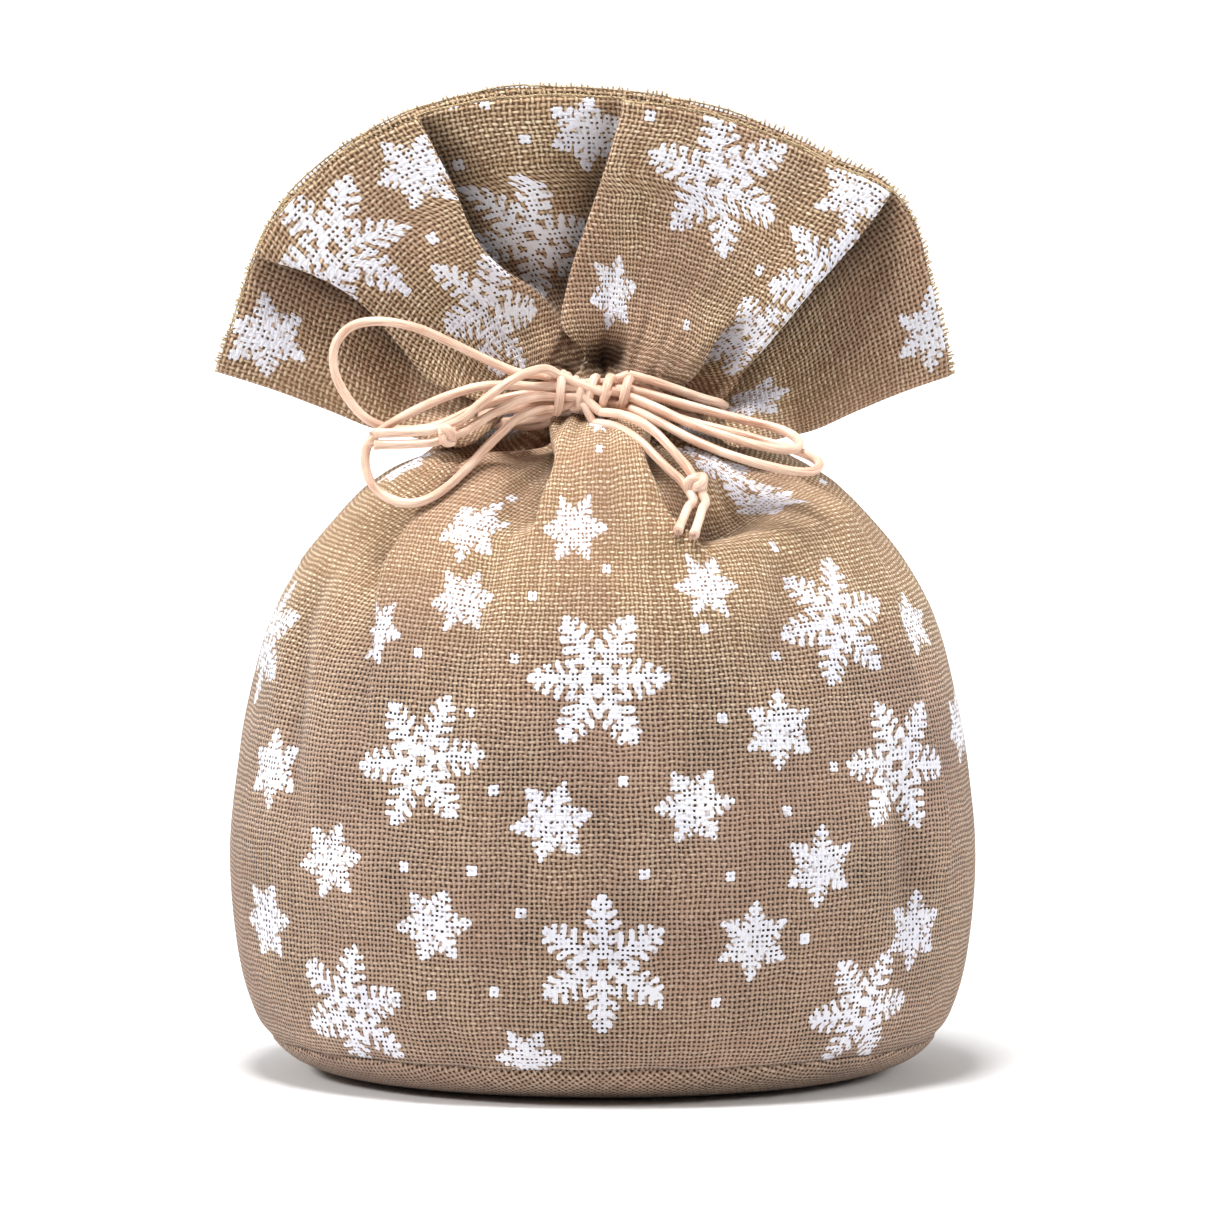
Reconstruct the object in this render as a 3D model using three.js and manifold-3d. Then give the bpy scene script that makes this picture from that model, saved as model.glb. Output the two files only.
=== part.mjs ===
// Drawstring gift sack: two cloth panels and an oval base, gathered at the neck by two satin
// drawstrings that run in an inner casing and are tied in a double bow at the front.
// Millimetres, +Z up. The origin is on the floor under the middle of the sack, +X is the
// sack's left-to-right seen from the front, and the front faces -Y.
import * as THREE from 'three';
import { mergeVertices } from 'three/addons/utils/BufferGeometryUtils.js';
import Module from 'manifold-3d';

const wasm = await Module();
wasm.setup();

// Cloth
const CLOTH = 1.5; // wall of a panel, away from the gathers
const BUNCHED = 2.8; // wall where the cloth is gathered at the neck
const SEAM_GAP = 0.15; // half of the gap between two cloth pieces that meet
const FOLD_COUNT = 6; // folds across one panel

// Neck
const NECK_A = 19; // half width of the drawn neck
const NECK_B = 14; // half depth of the drawn neck
const NECK_TOP = 161; // height where the panels end and the ruff begins, at the sides
const NECK_LIFT = 6.5; // how much higher the neck is at the front and back than at the sides
const SIDE_SLIT = 4.8; // half width of the slit in each side seam where a drawstring leaves

// Ruff
const RUFF_GAP = 0.8; // between the panels' top edges and the ruff
const RUFF_LENGTH_MIDDLE = 70;
const RUFF_LENGTH_TIP = 75;
const RUFF_TIP_ANGLE = THREE.MathUtils.degToRad(6);
const RUFF_BULGE = 9.5; // how far each leaf stands from the middle plane
const RUFF_FOLD = 5.5; // height of the ruff's folds

// Cords and threads
const CORD = 2.2; // drawstring diameter
const CORD_SIDES = 8;
const CORD_STEP = 2.4; // length of one tube step, in cord diameters
const THREAD = 0.8;
const THREAD_SIDES = 5;

// Bow
const BOW = new THREE.Vector3(-2, -22.5, 166.5); // centre of the bow's knot
const BOW_HALF_LENGTH = 7.5;
const BOW_RADIUS = 3.4;

// Half widths of the body against height, from the base seam up over the shoulder to the neck
const PROFILE = new THREE.SplineCurve([
  [80.5, 9], [84, 15], [87, 25], [89.2, 41], [89.7, 55], [88.3, 70], [85.3, 89], [80, 108.5],
  [72.5, 123], [61, 137], [52, 144.2], [43, 148.4], [34, 151], [26.5, 152.3], [21.3, 153.4],
  [NECK_A, 155.6], [NECK_A, 158], [NECK_A, NECK_TOP],
].map(([a, z]) => new THREE.Vector2(a, z)));
const PROFILE_STOPS = [
  0, 0.07, 0.16, 0.26, 0.36, 0.46, 0.55, 0.63, 0.7, 0.76, 0.82, 0.88, 0.925, 0.96, 1,
];
const PANEL_COLUMNS = 36;
const RUFF_COLUMNS = 36;
const RUFF_STOPS = [0, 0.09, 0.2, 0.36, 0.56, 0.78, 1];

const clothMaterial = () => new THREE.MeshStandardMaterial({
  color: 0xaf916e, roughness: 0.95, metalness: 0,
});
const cordMaterial = () => new THREE.MeshStandardMaterial({
  color: 0xedc8af, roughness: 0.45, metalness: 0,
});
const threadMaterial = () => new THREE.MeshStandardMaterial({
  color: 0xc9b08c, roughness: 0.8, metalness: 0,
});

const sack = new THREE.Group();

function addMesh(name, geometry, material) {
  const mesh = new THREE.Mesh(geometry, material);
  mesh.name = name;
  sack.add(mesh);
}

const smooth = (low, high, value) => THREE.MathUtils.smoothstep(value, low, high);

// Depth of the body as a share of its width: rounder at the body, flatter at the neck
const depthShare = (a) => 0.737 + 0.096 * smooth(NECK_A, 60, a);

// The neck sits higher at the middle of the front and back than at the side seams
const lift = (angle, a) => NECK_LIFT * Math.sin(angle) ** 2 * (1 - smooth(25, 70, a));

// How deep the gathers are at a point of the profile
const foldDepth = (a) => 4.2 * (1 - smooth(50, 82, a)) * (1 - 0.62 * (1 - smooth(NECK_A, 45, a)));

// Angle round the body from the left seam (0) over the panel's middle to the right seam (PI)
function seamedAngle(u, halfGap, b) {
  const start = Math.asin(Math.min(halfGap / b, 1));
  return start + u * (Math.PI - 2 * start);
}

// Closes two grids of points of the same size, an outer and an inner one, into one solid
function closedShell(outer, inner) {
  const rows = outer.length;
  const columns = outer[0].length;
  const points = [...outer.flat(), ...inner.flat()];
  const at = (layer, row, column) => (layer * rows + row) * columns + column;
  const faces = [];
  const quad = (a, b, c, d) => faces.push(a, b, c, a, c, d);
  for (let r = 0; r < rows - 1; r += 1) {
    for (let c = 0; c < columns - 1; c += 1) {
      quad(at(0, r, c), at(0, r, c + 1), at(0, r + 1, c + 1), at(0, r + 1, c));
      quad(at(1, r, c), at(1, r + 1, c), at(1, r + 1, c + 1), at(1, r, c + 1));
    }
    quad(at(0, r, 0), at(0, r + 1, 0), at(1, r + 1, 0), at(1, r, 0));
    const last = columns - 1;
    quad(at(0, r, last), at(1, r, last), at(1, r + 1, last), at(0, r + 1, last));
  }
  for (let c = 0; c < columns - 1; c += 1) {
    const top = rows - 1;
    quad(at(0, 0, c), at(1, 0, c), at(1, 0, c + 1), at(0, 0, c + 1));
    quad(at(0, top, c), at(0, top, c + 1), at(1, top, c + 1), at(1, top, c));
  }
  let volume = 0;
  for (let i = 0; i < faces.length; i += 3) {
    const [p, q, s] = [points[faces[i]], points[faces[i + 1]], points[faces[i + 2]]];
    volume += p.dot(new THREE.Vector3().crossVectors(q, s));
  }
  if (volume < 0) faces.reverse();
  const geometry = new THREE.BufferGeometry().setFromPoints(points);
  geometry.setIndex(faces);
  geometry.computeVertexNormals();
  return geometry;
}

// Body panels, from the base seam to the top of the neck. side is -1 at the front, 1 at the back.
function panelRow(side, stop, inset, halfGap) {
  const { x: a, y: z } = PROFILE.getPointAt(stop);
  const tangent = PROFILE.getTangentAt(stop);
  const row = [];
  for (let c = 0; c <= PANEL_COLUMNS; c += 1) {
    const u = c / PANEL_COLUMNS;
    const depth = inset(a, u);
    const half = a - depth * tangent.y;
    const b = half * depthShare(a);
    const angle = seamedAngle(u, halfGap, b);
    row.push(new THREE.Vector3(
      -half * Math.cos(angle),
      side * b * Math.sin(angle),
      z + depth * tangent.x + lift(angle, a),
    ));
  }
  return row;
}

function bodyPanel(side) {
  const gathers = (a, u) => foldDepth(a) * (0.5 - 0.5 * Math.cos(2 * Math.PI * FOLD_COUNT * u));
  const wall = (a) => CLOTH + foldDepth(a) * smooth(NECK_A, 24, a)
    + (BUNCHED - CLOTH) * (1 - smooth(NECK_A, 24, a));
  const halfGap = (stop) => SEAM_GAP + (SIDE_SLIT - SEAM_GAP) * smooth(0.93, 0.965, stop);
  return closedShell(
    PROFILE_STOPS.map((stop) => panelRow(side, stop, gathers, halfGap(stop))),
    PROFILE_STOPS.map((stop) => panelRow(side, stop, wall, halfGap(stop))),
  );
}

addMesh('front_panel', bodyPanel(-1), clothMaterial());
addMesh('back_panel', bodyPanel(1), clothMaterial());

// Ruff leaves, the cloth above the neck: one fan of folds at the front and one at the back
function ruffRow(side, stop, isOuter) {
  const settled = smooth(0, 0.4, stop);
  const wall = isOuter ? THREE.MathUtils.lerp(BUNCHED, CLOTH, settled) : 0;
  const inset = isOuter ? 0 : BUNCHED * (1 - settled);
  const row = [];
  for (let c = 0; c <= RUFF_COLUMNS; c += 1) {
    const u = c / RUFF_COLUMNS;
    const angle = u * Math.PI;
    const fan = RUFF_TIP_ANGLE + u * (Math.PI - 2 * RUFF_TIP_ANGLE);
    const middle = Math.sin(angle);
    const length = stop * THREE.MathUtils.lerp(RUFF_LENGTH_TIP, RUFF_LENGTH_MIDDLE, middle);
    const fold = RUFF_FOLD * smooth(0, 0.35, stop) * (1 - 0.45 * smooth(0.4, 1, stop))
      * Math.sqrt(middle) * Math.cos(2 * Math.PI * (FOLD_COUNT / 2 + 0.5) * u);
    const bulge = THREE.MathUtils.lerp((NECK_B - BUNCHED) * middle, RUFF_BULGE * Math.sqrt(middle),
      settled);
    row.push(new THREE.Vector3(
      -(NECK_A - inset) * Math.cos(angle) - length * Math.cos(fan),
      side * (SEAM_GAP + bulge + fold + wall),
      NECK_TOP + RUFF_GAP + lift(angle, NECK_A) + length * Math.sin(fan),
    ));
  }
  return row;
}

function ruffLeaf(side) {
  return closedShell(
    RUFF_STOPS.map((stop) => ruffRow(side, stop, true)),
    RUFF_STOPS.map((stop) => ruffRow(side, stop, false)),
  );
}

addMesh('front_ruff', ruffLeaf(-1), clothMaterial());
addMesh('back_ruff', ruffLeaf(1), clothMaterial());

// Base panel: a shallow oval dish with a flat underside, which rises to the base seam
const BASE_SEGMENTS = 40;
const basePanel = new THREE.LatheGeometry([
  [0, 0], [62, 0], [70, 1.4], [76.4, 4.2], [80.2, 8.6], [78.4, 8.6], [75, 5.6], [69.4, 3.1],
  [61.6, 1.7], [0, 1.7],
].map(([r, z]) => new THREE.Vector2(r, z)), BASE_SEGMENTS);
basePanel.rotateX(Math.PI / 2);
basePanel.scale(1, depthShare(PROFILE.points[0].x), 1);
addMesh('base_panel', basePanel, clothMaterial());

// Casing strips: the cloth strips inside the neck that hold the drawstrings against the panels
function casingRow(side, halfWidth, halfDepth, height) {
  const columns = 16;
  const row = [];
  for (let c = 0; c <= columns; c += 1) {
    const angle = seamedAngle(c / columns, SEAM_GAP, halfDepth);
    row.push(new THREE.Vector3(
      -halfWidth * Math.cos(angle),
      side * halfDepth * Math.sin(angle),
      height + lift(angle, NECK_A),
    ));
  }
  return row;
}

const CASING_OUTER = [12.3, 7.3];
const CASING_INNER = [10.8, 5.8];
const CASING_HEIGHTS = [154.2, 157.5, NECK_TOP - 0.2];

function casingStrip(side) {
  return closedShell(
    CASING_HEIGHTS.map((height) => casingRow(side, ...CASING_OUTER, height)),
    CASING_HEIGHTS.map((height) => casingRow(side, ...CASING_INNER, height)),
  );
}

addMesh('front_casing_strip', casingStrip(-1), clothMaterial());
addMesh('back_casing_strip', casingStrip(1), clothMaterial());

// A round tube along a smooth curve through the points
function tube(points, diameter, sides, step) {
  const path = new THREE.CatmullRomCurve3(points, false, 'centripetal');
  const section = new THREE.Shape(Array.from({ length: sides }, (_, i) => {
    const angle = (2 * Math.PI * i) / sides;
    return new THREE.Vector2(0.5 * diameter * Math.cos(angle), 0.5 * diameter * Math.sin(angle));
  }));
  const steps = Math.max(3, Math.round(path.getLength() / step));
  return new THREE.ExtrudeGeometry(section, { steps, bevelEnabled: false, extrudePath: path });
}

const vectors = (points) => points.map(([x, y, z]) => new THREE.Vector3(x, y, z));

// Sewing threads
const SEAM_THREAD_INSET = CLOTH + 0.9 + THREAD / 2;

function sideSeamThread(side) {
  const stops = [0.03, 0.12, 0.24, 0.36, 0.48, 0.58, 0.66, 0.73, 0.79];
  const points = stops.map((stop) => {
    const { x: a, y: z } = PROFILE.getPointAt(stop);
    const tangent = PROFILE.getTangentAt(stop);
    const inset = SEAM_THREAD_INSET + foldDepth(a);
    return [side * (a - inset * tangent.y), 0, z + inset * tangent.x];
  });
  return tube(vectors(points), THREAD, THREAD_SIDES, 9);
}

addMesh('left_side_seam_thread', sideSeamThread(-1), threadMaterial());
addMesh('right_side_seam_thread', sideSeamThread(1), threadMaterial());

const baseThread = new THREE.TorusGeometry(
  PROFILE.points[0].x - SEAM_THREAD_INSET - 0.2, THREAD / 2, THREAD_SIDES, 40,
);
baseThread.scale(1, depthShare(PROFILE.points[0].x), 1);
baseThread.translate(0, 0, PROFILE.points[0].y + 0.6);
addMesh('base_seam_thread', baseThread, threadMaterial());

function casingThread(side) {
  const points = [0.06, 0.2, 0.35, 0.5, 0.65, 0.8, 0.94].map((u) => {
    const angle = u * Math.PI;
    return [-10 * Math.cos(angle), side * 5 * Math.sin(angle), 160 + lift(angle, NECK_A)];
  });
  return tube(vectors(points), THREAD, THREAD_SIDES, 3);
}

addMesh('front_casing_thread', casingThread(-1), threadMaterial());
addMesh('back_casing_thread', casingThread(1), threadMaterial());

// Drawstrings: each runs from the bow to the slit in its side seam, once round the neck inside
// the casing and back out of the same slit to the bow
const DRAWSTRINGS = {
  left_drawstring: [
    [-5.5, -21.6, 161.4], [-10, -21, 160.8], [-15.5, -19.2, 159.8], [-21, -15.6, 158.6],
    [-25, -10.8, 157.6], [-25.8, -6, 156.6], [-23.2, -2.7, 156], [-19, -2, 155.9],
    [-15.6, -3, 156.1], [-12.6, -4.9, 157.4], [-7.6, -7.8, 160.4], [0, -9.2, 162.4],
    [7.6, -7.8, 160.4], [12.6, -4.4, 157.2], [14.2, 0, 155.9], [12.6, 4.4, 157.2],
    [7.6, 7.8, 160.4], [0, 9.2, 162.4], [-7.6, 7.8, 160.4], [-12.6, 4.9, 157.4],
    [-15.6, 3, 156.1], [-19, 2, 155.9], [-23.6, 1.6, 156.2], [-28, -0.6, 157.2],
    [-29.4, -6, 158.4], [-27.6, -12.6, 160], [-22.6, -17.4, 161.6], [-16, -20.4, 162.8],
    [-10.5, -21.2, 163.6],
  ],
  right_drawstring: [
    [6.2, -19, 167.4], [12, -18.8, 165.6], [18, -16.8, 163], [23, -12.6, 161.2],
    [25.4, -8, 159.8], [24.4, -4, 159], [21.6, -2.2, 158.7], [18, -2, 158.7],
    [15.4, -3.1, 158.9], [12.6, -4.9, 160.2], [7.6, -7.8, 163.2], [0, -9.2, 165.2],
    [-7.6, -7.8, 163.2], [-12.6, -4.4, 160], [-14.2, 0, 158.7], [-12.6, 4.4, 160],
    [-7.6, 7.8, 163.2], [0, 9.2, 165.2], [7.6, 7.8, 163.2], [12.6, 4.9, 160.2],
    [15.4, 3.1, 158.9], [18, 2, 158.7], [22.4, 1.9, 158.8], [27, 0.2, 159.4],
    [29.2, -4.8, 160.6], [28, -11, 162.4], [23.4, -15.8, 164.2], [17, -18.9, 166.8],
    [11.6, -19.6, 168.8], [6.2, -19.4, 170.2],
  ],
};

// The bow's loops and tails, each from the knot to where it ends
const LOOPS = {
  left_upper_loop: [
    [-10.6, -21.8, 169.4], [-15.1, -22.2, 170.4], [-20.9, -22.8, 171.2], [-28.3, -23.4, 174.5],
    [-36.7, -24, 178.6], [-44.9, -24.4, 182.1], [-53, -24.8, 183.6], [-59.3, -25.2, 182.7],
    [-63.1, -25.6, 179.3], [-64.3, -26, 174.8], [-63.4, -26.4, 170], [-60.7, -26.8, 165.2],
    [-56.9, -27, 160.9], [-52.1, -27, 158.5], [-46.8, -26.6, 157.7], [-41.5, -26, 158.1],
    [-36.2, -25.4, 160], [-30.7, -24.6, 162.5], [-24.7, -23.4, 164.6], [-18, -22.4, 166],
    [-10.6, -21.8, 166.8],
  ],
  left_lower_loop: [
    [-10.6, -24.5, 162.7], [-14.9, -26, 162.5], [-19.9, -28, 161], [-24, -30, 157.6],
    [-28.1, -31.8, 153.7], [-32.4, -33.8, 149.3], [-37.4, -35.8, 144.9], [-42.2, -36.6, 142.1],
    [-47, -36.4, 141.3], [-51.8, -35, 142.8], [-55.2, -33.4, 145.9], [-56.6, -32, 150.1],
    [-56.2, -31.2, 154.1], [-53.8, -31, 157.3], [-49.7, -31, 160.2], [-43.9, -30.6, 163.3],
    [-36.7, -29.4, 166.3], [-29.5, -27.6, 168.2], [-22.3, -26, 168.4], [-16.3, -25, 168],
    [-10.6, -24.5, 168],
  ],
  left_tail_front: [
    [-10.6, -24.5, 170.7], [-13.7, -26.2, 172.3], [-18, -28.8, 171.7], [-22.3, -31.2, 169.8],
    [-26.6, -33, 166.9], [-30.6, -34.2, 163.7], [-34, -34.8, 160.9],
  ],
  left_tail_back: [
    [-10.6, -24.6, 165.4], [-15.1, -26.2, 165.6], [-19.4, -28.6, 165.1], [-23.8, -30.8, 163.4],
    [-28.1, -32.6, 161.2], [-31.4, -34, 159.2], [-33.8, -34.7, 158],
  ],
  right_upper_loop: [
    [6.2, -22, 166.9], [11.3, -22.4, 165.7], [18.5, -23, 163.8], [26.2, -23.8, 161.7],
    [33.8, -25, 159.9], [40.6, -26.6, 158.4], [45.1, -28.8, 156.8], [46.8, -32, 155.2],
    [45.6, -35, 154.1], [41.5, -36.6, 154.3], [34.8, -36.4, 155.7], [27.1, -34.6, 157.9],
    [19.9, -31.6, 160.2], [12.5, -27.6, 163.3], [6.2, -24.7, 165.6],
  ],
  right_lower_loop: [
    [6.2, -22, 164.2], [11.8, -24, 162.3], [19.4, -25.6, 160], [27.6, -27, 158],
    [35.8, -28.4, 156], [43.4, -30, 154], [49.2, -32.4, 152.1], [51.6, -36, 150.6],
    [49.9, -39.2, 149.3], [44.9, -40.6, 149.5], [37.2, -40.4, 151.2], [29, -38.8, 153.6],
    [21.4, -35.6, 156.4], [13.7, -30.4, 159.9], [6.2, -24.7, 162.9],
  ],
  right_tail_upper: [
    [-0.7, -26.7, 162], [3.6, -30.2, 162], [7.9, -34, 161], [12, -37.4, 158.8],
    [15.6, -40, 155.5], [18.5, -42, 152.4], [20.6, -43.2, 149.9],
  ],
  right_tail_lower: [
    [-2.2, -26.7, 159.4], [2.2, -30.2, 159.2], [6, -34, 157.8], [9.6, -37.6, 155.6],
    [13, -40.4, 152.5], [16.2, -42.4, 149.6], [18.8, -43.6, 147.4],
  ],
};

// Cut ends beyond the end knots
const CUT_ENDS = {
  left_cut_end_upper: [
    [-40.2, -35, 158.6], [-43, -35.2, 158.4], [-47.5, -35.4, 158.1], [-54.5, -35.4, 157.9],
  ],
  left_cut_end_lower: [
    [-40.2, -35.2, 155.8], [-43, -35.4, 155.5], [-47.5, -35.6, 155.3], [-54.5, -35.6, 155.2],
  ],
  right_cut_end_left: [
    [21.5, -47, 143.5], [20.3, -48.2, 141.8], [19.1, -50.4, 139.3], [17.8, -53.6, 136.6],
  ],
  right_cut_end_right: [
    [24.3, -47.1, 143.4], [23.7, -48.3, 141.6], [22.8, -50.5, 138.8], [21.6, -53.6, 135.6],
  ],
};

for (const cords of [DRAWSTRINGS, LOOPS, CUT_ENDS]) {
  for (const [name, points] of Object.entries(cords)) {
    addMesh(name, tube(vectors(points), CORD, CORD_SIDES, CORD_STEP * CORD), cordMaterial());
  }
}

// Knots: a spindle of revolution with a thicker turn of cord round it
function solid(geometry) {
  const bare = new THREE.BufferGeometry();
  bare.setAttribute('position', geometry.getAttribute('position').clone());
  if (geometry.index) bare.setIndex(geometry.index.clone());
  const merged = mergeVertices(bare, 1e-4);
  return new wasm.Manifold(new wasm.Mesh({
    numProp: 3,
    vertProperties: new Float32Array(merged.getAttribute('position').array),
    triVerts: new Uint32Array(merged.index.array),
  }));
}

function fromSolid(manifold) {
  const { vertProperties, triVerts, numProp } = manifold.getMesh();
  const positions = new Float32Array((vertProperties.length / numProp) * 3);
  for (let i = 0; i < positions.length / 3; i += 1) {
    positions.set(vertProperties.subarray(i * numProp, i * numProp + 3), i * 3);
  }
  const geometry = new THREE.BufferGeometry();
  geometry.setAttribute('position', new THREE.BufferAttribute(positions, 3));
  geometry.setIndex(new THREE.BufferAttribute(new Uint32Array(triVerts), 1));
  geometry.computeVertexNormals();
  return geometry;
}

// A spindle along its own Y axis, turned to point along direction
function spindle(halfLength, radius, direction) {
  const steps = 8;
  const profile = Array.from({ length: steps + 1 }, (_, i) => {
    const angle = (Math.PI * i) / steps;
    const r = i % steps === 0 ? 0 : radius * Math.sin(angle) ** 0.7;
    return new THREE.Vector2(r, -halfLength * Math.cos(angle));
  });
  const geometry = new THREE.LatheGeometry(profile, 12);
  const turn = new THREE.Quaternion().setFromUnitVectors(
    new THREE.Vector3(0, 1, 0), direction.clone().normalize(),
  );
  geometry.applyQuaternion(turn);
  return geometry;
}

const bowCore = spindle(BOW_HALF_LENGTH, BOW_RADIUS, new THREE.Vector3(1, 0, 0));
const bowWrap = new THREE.TorusGeometry(BOW_RADIUS - 0.9, CORD / 2, 8, 16);
bowWrap.rotateY(Math.PI / 2);
bowWrap.translate(-3.5, 0, 0);
const bowKnot = fromSolid(solid(bowCore).add(solid(bowWrap)));
bowKnot.translate(BOW.x, BOW.y, BOW.z);
addMesh('bow_knot', bowKnot, cordMaterial());

const leftEndKnot = spindle(2.6, 2.5, new THREE.Vector3(1, 0, 0.4));
leftEndKnot.translate(-37, -35, 157.6);
addMesh('left_end_knot', leftEndKnot, cordMaterial());

const rightEndKnot = spindle(2.9, 2.8, new THREE.Vector3(0.35, -0.35, -1));
rightEndKnot.translate(22.3, -44.8, 147);
addMesh('right_end_knot', rightEndKnot, cordMaterial());

export default sack;
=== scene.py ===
"""A gift sack of printed burlap-like cloth, drawn shut by two satin cords tied in a bow.

Everything is in metres, in the frame's own axes: +X to the right, +Y to the back, +Z up.
"""

import math

import bpy
import numpy as np
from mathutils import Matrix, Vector


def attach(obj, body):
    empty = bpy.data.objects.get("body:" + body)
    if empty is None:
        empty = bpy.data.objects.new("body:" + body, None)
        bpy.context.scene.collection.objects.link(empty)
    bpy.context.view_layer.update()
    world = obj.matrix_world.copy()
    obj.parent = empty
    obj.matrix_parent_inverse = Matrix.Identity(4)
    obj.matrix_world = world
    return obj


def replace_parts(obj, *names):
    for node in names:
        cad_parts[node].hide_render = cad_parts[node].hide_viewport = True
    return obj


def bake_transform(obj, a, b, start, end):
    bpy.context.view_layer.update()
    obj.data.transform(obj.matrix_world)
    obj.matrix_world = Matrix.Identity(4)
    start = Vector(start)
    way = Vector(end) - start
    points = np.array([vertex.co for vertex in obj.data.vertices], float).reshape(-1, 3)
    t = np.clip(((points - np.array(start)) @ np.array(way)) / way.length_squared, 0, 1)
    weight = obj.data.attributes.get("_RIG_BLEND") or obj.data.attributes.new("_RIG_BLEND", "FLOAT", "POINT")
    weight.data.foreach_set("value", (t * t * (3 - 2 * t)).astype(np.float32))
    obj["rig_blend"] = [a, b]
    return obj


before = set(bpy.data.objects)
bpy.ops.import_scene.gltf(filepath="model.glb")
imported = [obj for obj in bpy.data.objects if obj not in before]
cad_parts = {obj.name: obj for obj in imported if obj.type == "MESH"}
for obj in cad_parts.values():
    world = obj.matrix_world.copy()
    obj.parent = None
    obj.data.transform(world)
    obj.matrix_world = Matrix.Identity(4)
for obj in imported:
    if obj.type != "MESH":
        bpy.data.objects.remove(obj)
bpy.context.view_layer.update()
MM = 0.001
RANDOM = np.random.default_rng(11)

# ------------------------------------------------------------------ camera

CAMERA_TARGET = Vector((0.001, 0, 0.1119))
CAMERA_DISTANCE = 5.0
CAMERA_RISE = math.radians(7)
FIELD_WIDTH = 0.2914  # width of the view at the target
SENSOR = 36


def add_camera():
    data = bpy.data.cameras.new("camera")
    data.sensor_width = SENSOR
    data.lens = SENSOR * CAMERA_DISTANCE / FIELD_WIDTH
    camera = bpy.data.objects.new("camera", data)
    bpy.context.scene.collection.objects.link(camera)
    back = Vector((0, -math.cos(CAMERA_RISE), math.sin(CAMERA_RISE)))
    camera.location = CAMERA_TARGET + back * CAMERA_DISTANCE
    camera.rotation_mode = "QUATERNION"
    camera.rotation_quaternion = (-back).to_track_quat("-Z", "Y")
    bpy.context.scene.camera = camera


add_camera()

# ------------------------------------------------------------------ small helpers


def smooth(low, high, value):
    share = np.clip((value - low) / (high - low), 0, 1)
    return share * share * (3 - 2 * share)


def mix(a, b, share):
    return a + (b - a) * share


def hermite(x, xs, ys):
    """A smooth curve through the keys (xs, ys), level beyond the first and the last."""
    xs, ys = np.asarray(xs, float), np.asarray(ys, float)
    slope = np.gradient(ys, xs)
    x = np.clip(x, xs[0], xs[-1])
    i = np.clip(np.searchsorted(xs, x) - 1, 0, len(xs) - 2)
    width = xs[i + 1] - xs[i]
    t = (x - xs[i]) / width
    return (
        ys[i] * (1 + 2 * t) * (1 - t) ** 2
        + ys[i + 1] * t * t * (3 - 2 * t)
        + width * slope[i] * t * (1 - t) ** 2
        - width * slope[i + 1] * t * t * (1 - t)
    )


def catmull_rom(points, count):
    """count points on the uniform Catmull-Rom curve through the points."""
    points = np.asarray(points, float)
    last = len(points) - 1
    place = np.linspace(0, last, count)
    i = np.minimum(place.astype(int), last - 1)
    t = (place - i)[:, None]
    p0, p1 = points[np.maximum(i - 1, 0)], points[i]
    p2, p3 = points[i + 1], points[np.minimum(i + 2, last)]
    v0, v1 = (p2 - p0) / 2, (p3 - p1) / 2
    return (
        (2 * p1 - 2 * p2 + v0 + v1) * t**3
        + (-3 * p1 + 3 * p2 - 2 * v0 - v1) * t**2
        + v0 * t
        + p1
    )


def run_length(points):
    """Distance along a line of points, from its first point."""
    steps = np.linalg.norm(np.diff(points, axis=0), axis=1)
    return np.concatenate([[0], np.cumsum(steps)])


def even_points(points, step):
    """The curve through the points, with a point about every step."""
    fine = catmull_rom(points, len(points) * 24)
    along = run_length(fine)
    count = max(3, round(along[-1] / step) + 1)
    at = np.linspace(0, along[-1], count)
    return np.stack([np.interp(at, along, fine[:, k]) for k in range(3)], axis=1)


def unit(vectors):
    return vectors / np.maximum(np.linalg.norm(vectors, axis=-1, keepdims=True), 1e-12)


def add_piece(name, points, faces, materials, uv=None, face_material=None):
    """A smooth-shaded mesh object; uv has a row for each point."""
    mesh = bpy.data.meshes.new(name)
    if isinstance(faces, np.ndarray):
        faces = faces.tolist()
    mesh.from_pydata(np.asarray(points, float).tolist(), [], faces)
    for material in materials:
        mesh.materials.append(material)
    if face_material is not None:
        mesh.polygons.foreach_set("material_index", np.asarray(face_material, np.int32))
    if uv is not None:
        corner = np.zeros(len(mesh.loops), np.int32)
        mesh.loops.foreach_get("vertex_index", corner)
        layer = mesh.uv_layers.new(name="Cloth")
        layer.data.foreach_set("uv", np.asarray(uv, np.float32)[corner].ravel())
    mesh.polygons.foreach_set("use_smooth", np.ones(len(mesh.polygons), bool))
    mesh.update()
    piece = bpy.data.objects.new(name, mesh)
    bpy.context.scene.collection.objects.link(piece)
    return piece


def frames_along(path):
    """A pair of unit vectors square to the path at each point, without twist."""
    ahead = unit(np.gradient(path, axis=0))
    side = np.cross(ahead[0], [0.1, 0.2, 1.0])
    sides = []
    for direction in ahead:
        side = side - direction * (side @ direction)
        side = side / np.linalg.norm(side)
        sides.append(side)
    sides = np.array(sides)
    return sides, np.cross(ahead, sides)


CORD_UV = 0.01  # the length of cord in one unit of its UV


def tube_grid(path, radii, around):
    """Points and faces of a closed round tube. radii is one radius for each point of the path."""
    side, up = frames_along(path)
    turn = np.linspace(0, 2 * math.pi, around, endpoint=False)
    radii = np.broadcast_to(radii, (len(path),))
    ring = np.cos(turn)[None, :, None] * side[:, None] + np.sin(turn)[None, :, None] * up[:, None]
    points = path[:, None] + ring * radii[:, None, None]
    rows = len(path)
    faces = []
    for r in range(rows - 1):
        for k in range(around):
            a, b = r * around + k, r * around + (k + 1) % around
            faces.append((a, b, b + around, a + around))
    faces.append(tuple(range(around - 1, -1, -1)))
    faces.append(tuple(range((rows - 1) * around, rows * around)))
    along = np.repeat(run_length(path), around)
    angle = np.tile(np.arange(around) / around, rows)
    uv = np.stack([np.minimum(angle, 1 - angle) * 2, along / CORD_UV], axis=1)
    return points.reshape(-1, 3), faces, uv


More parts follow.
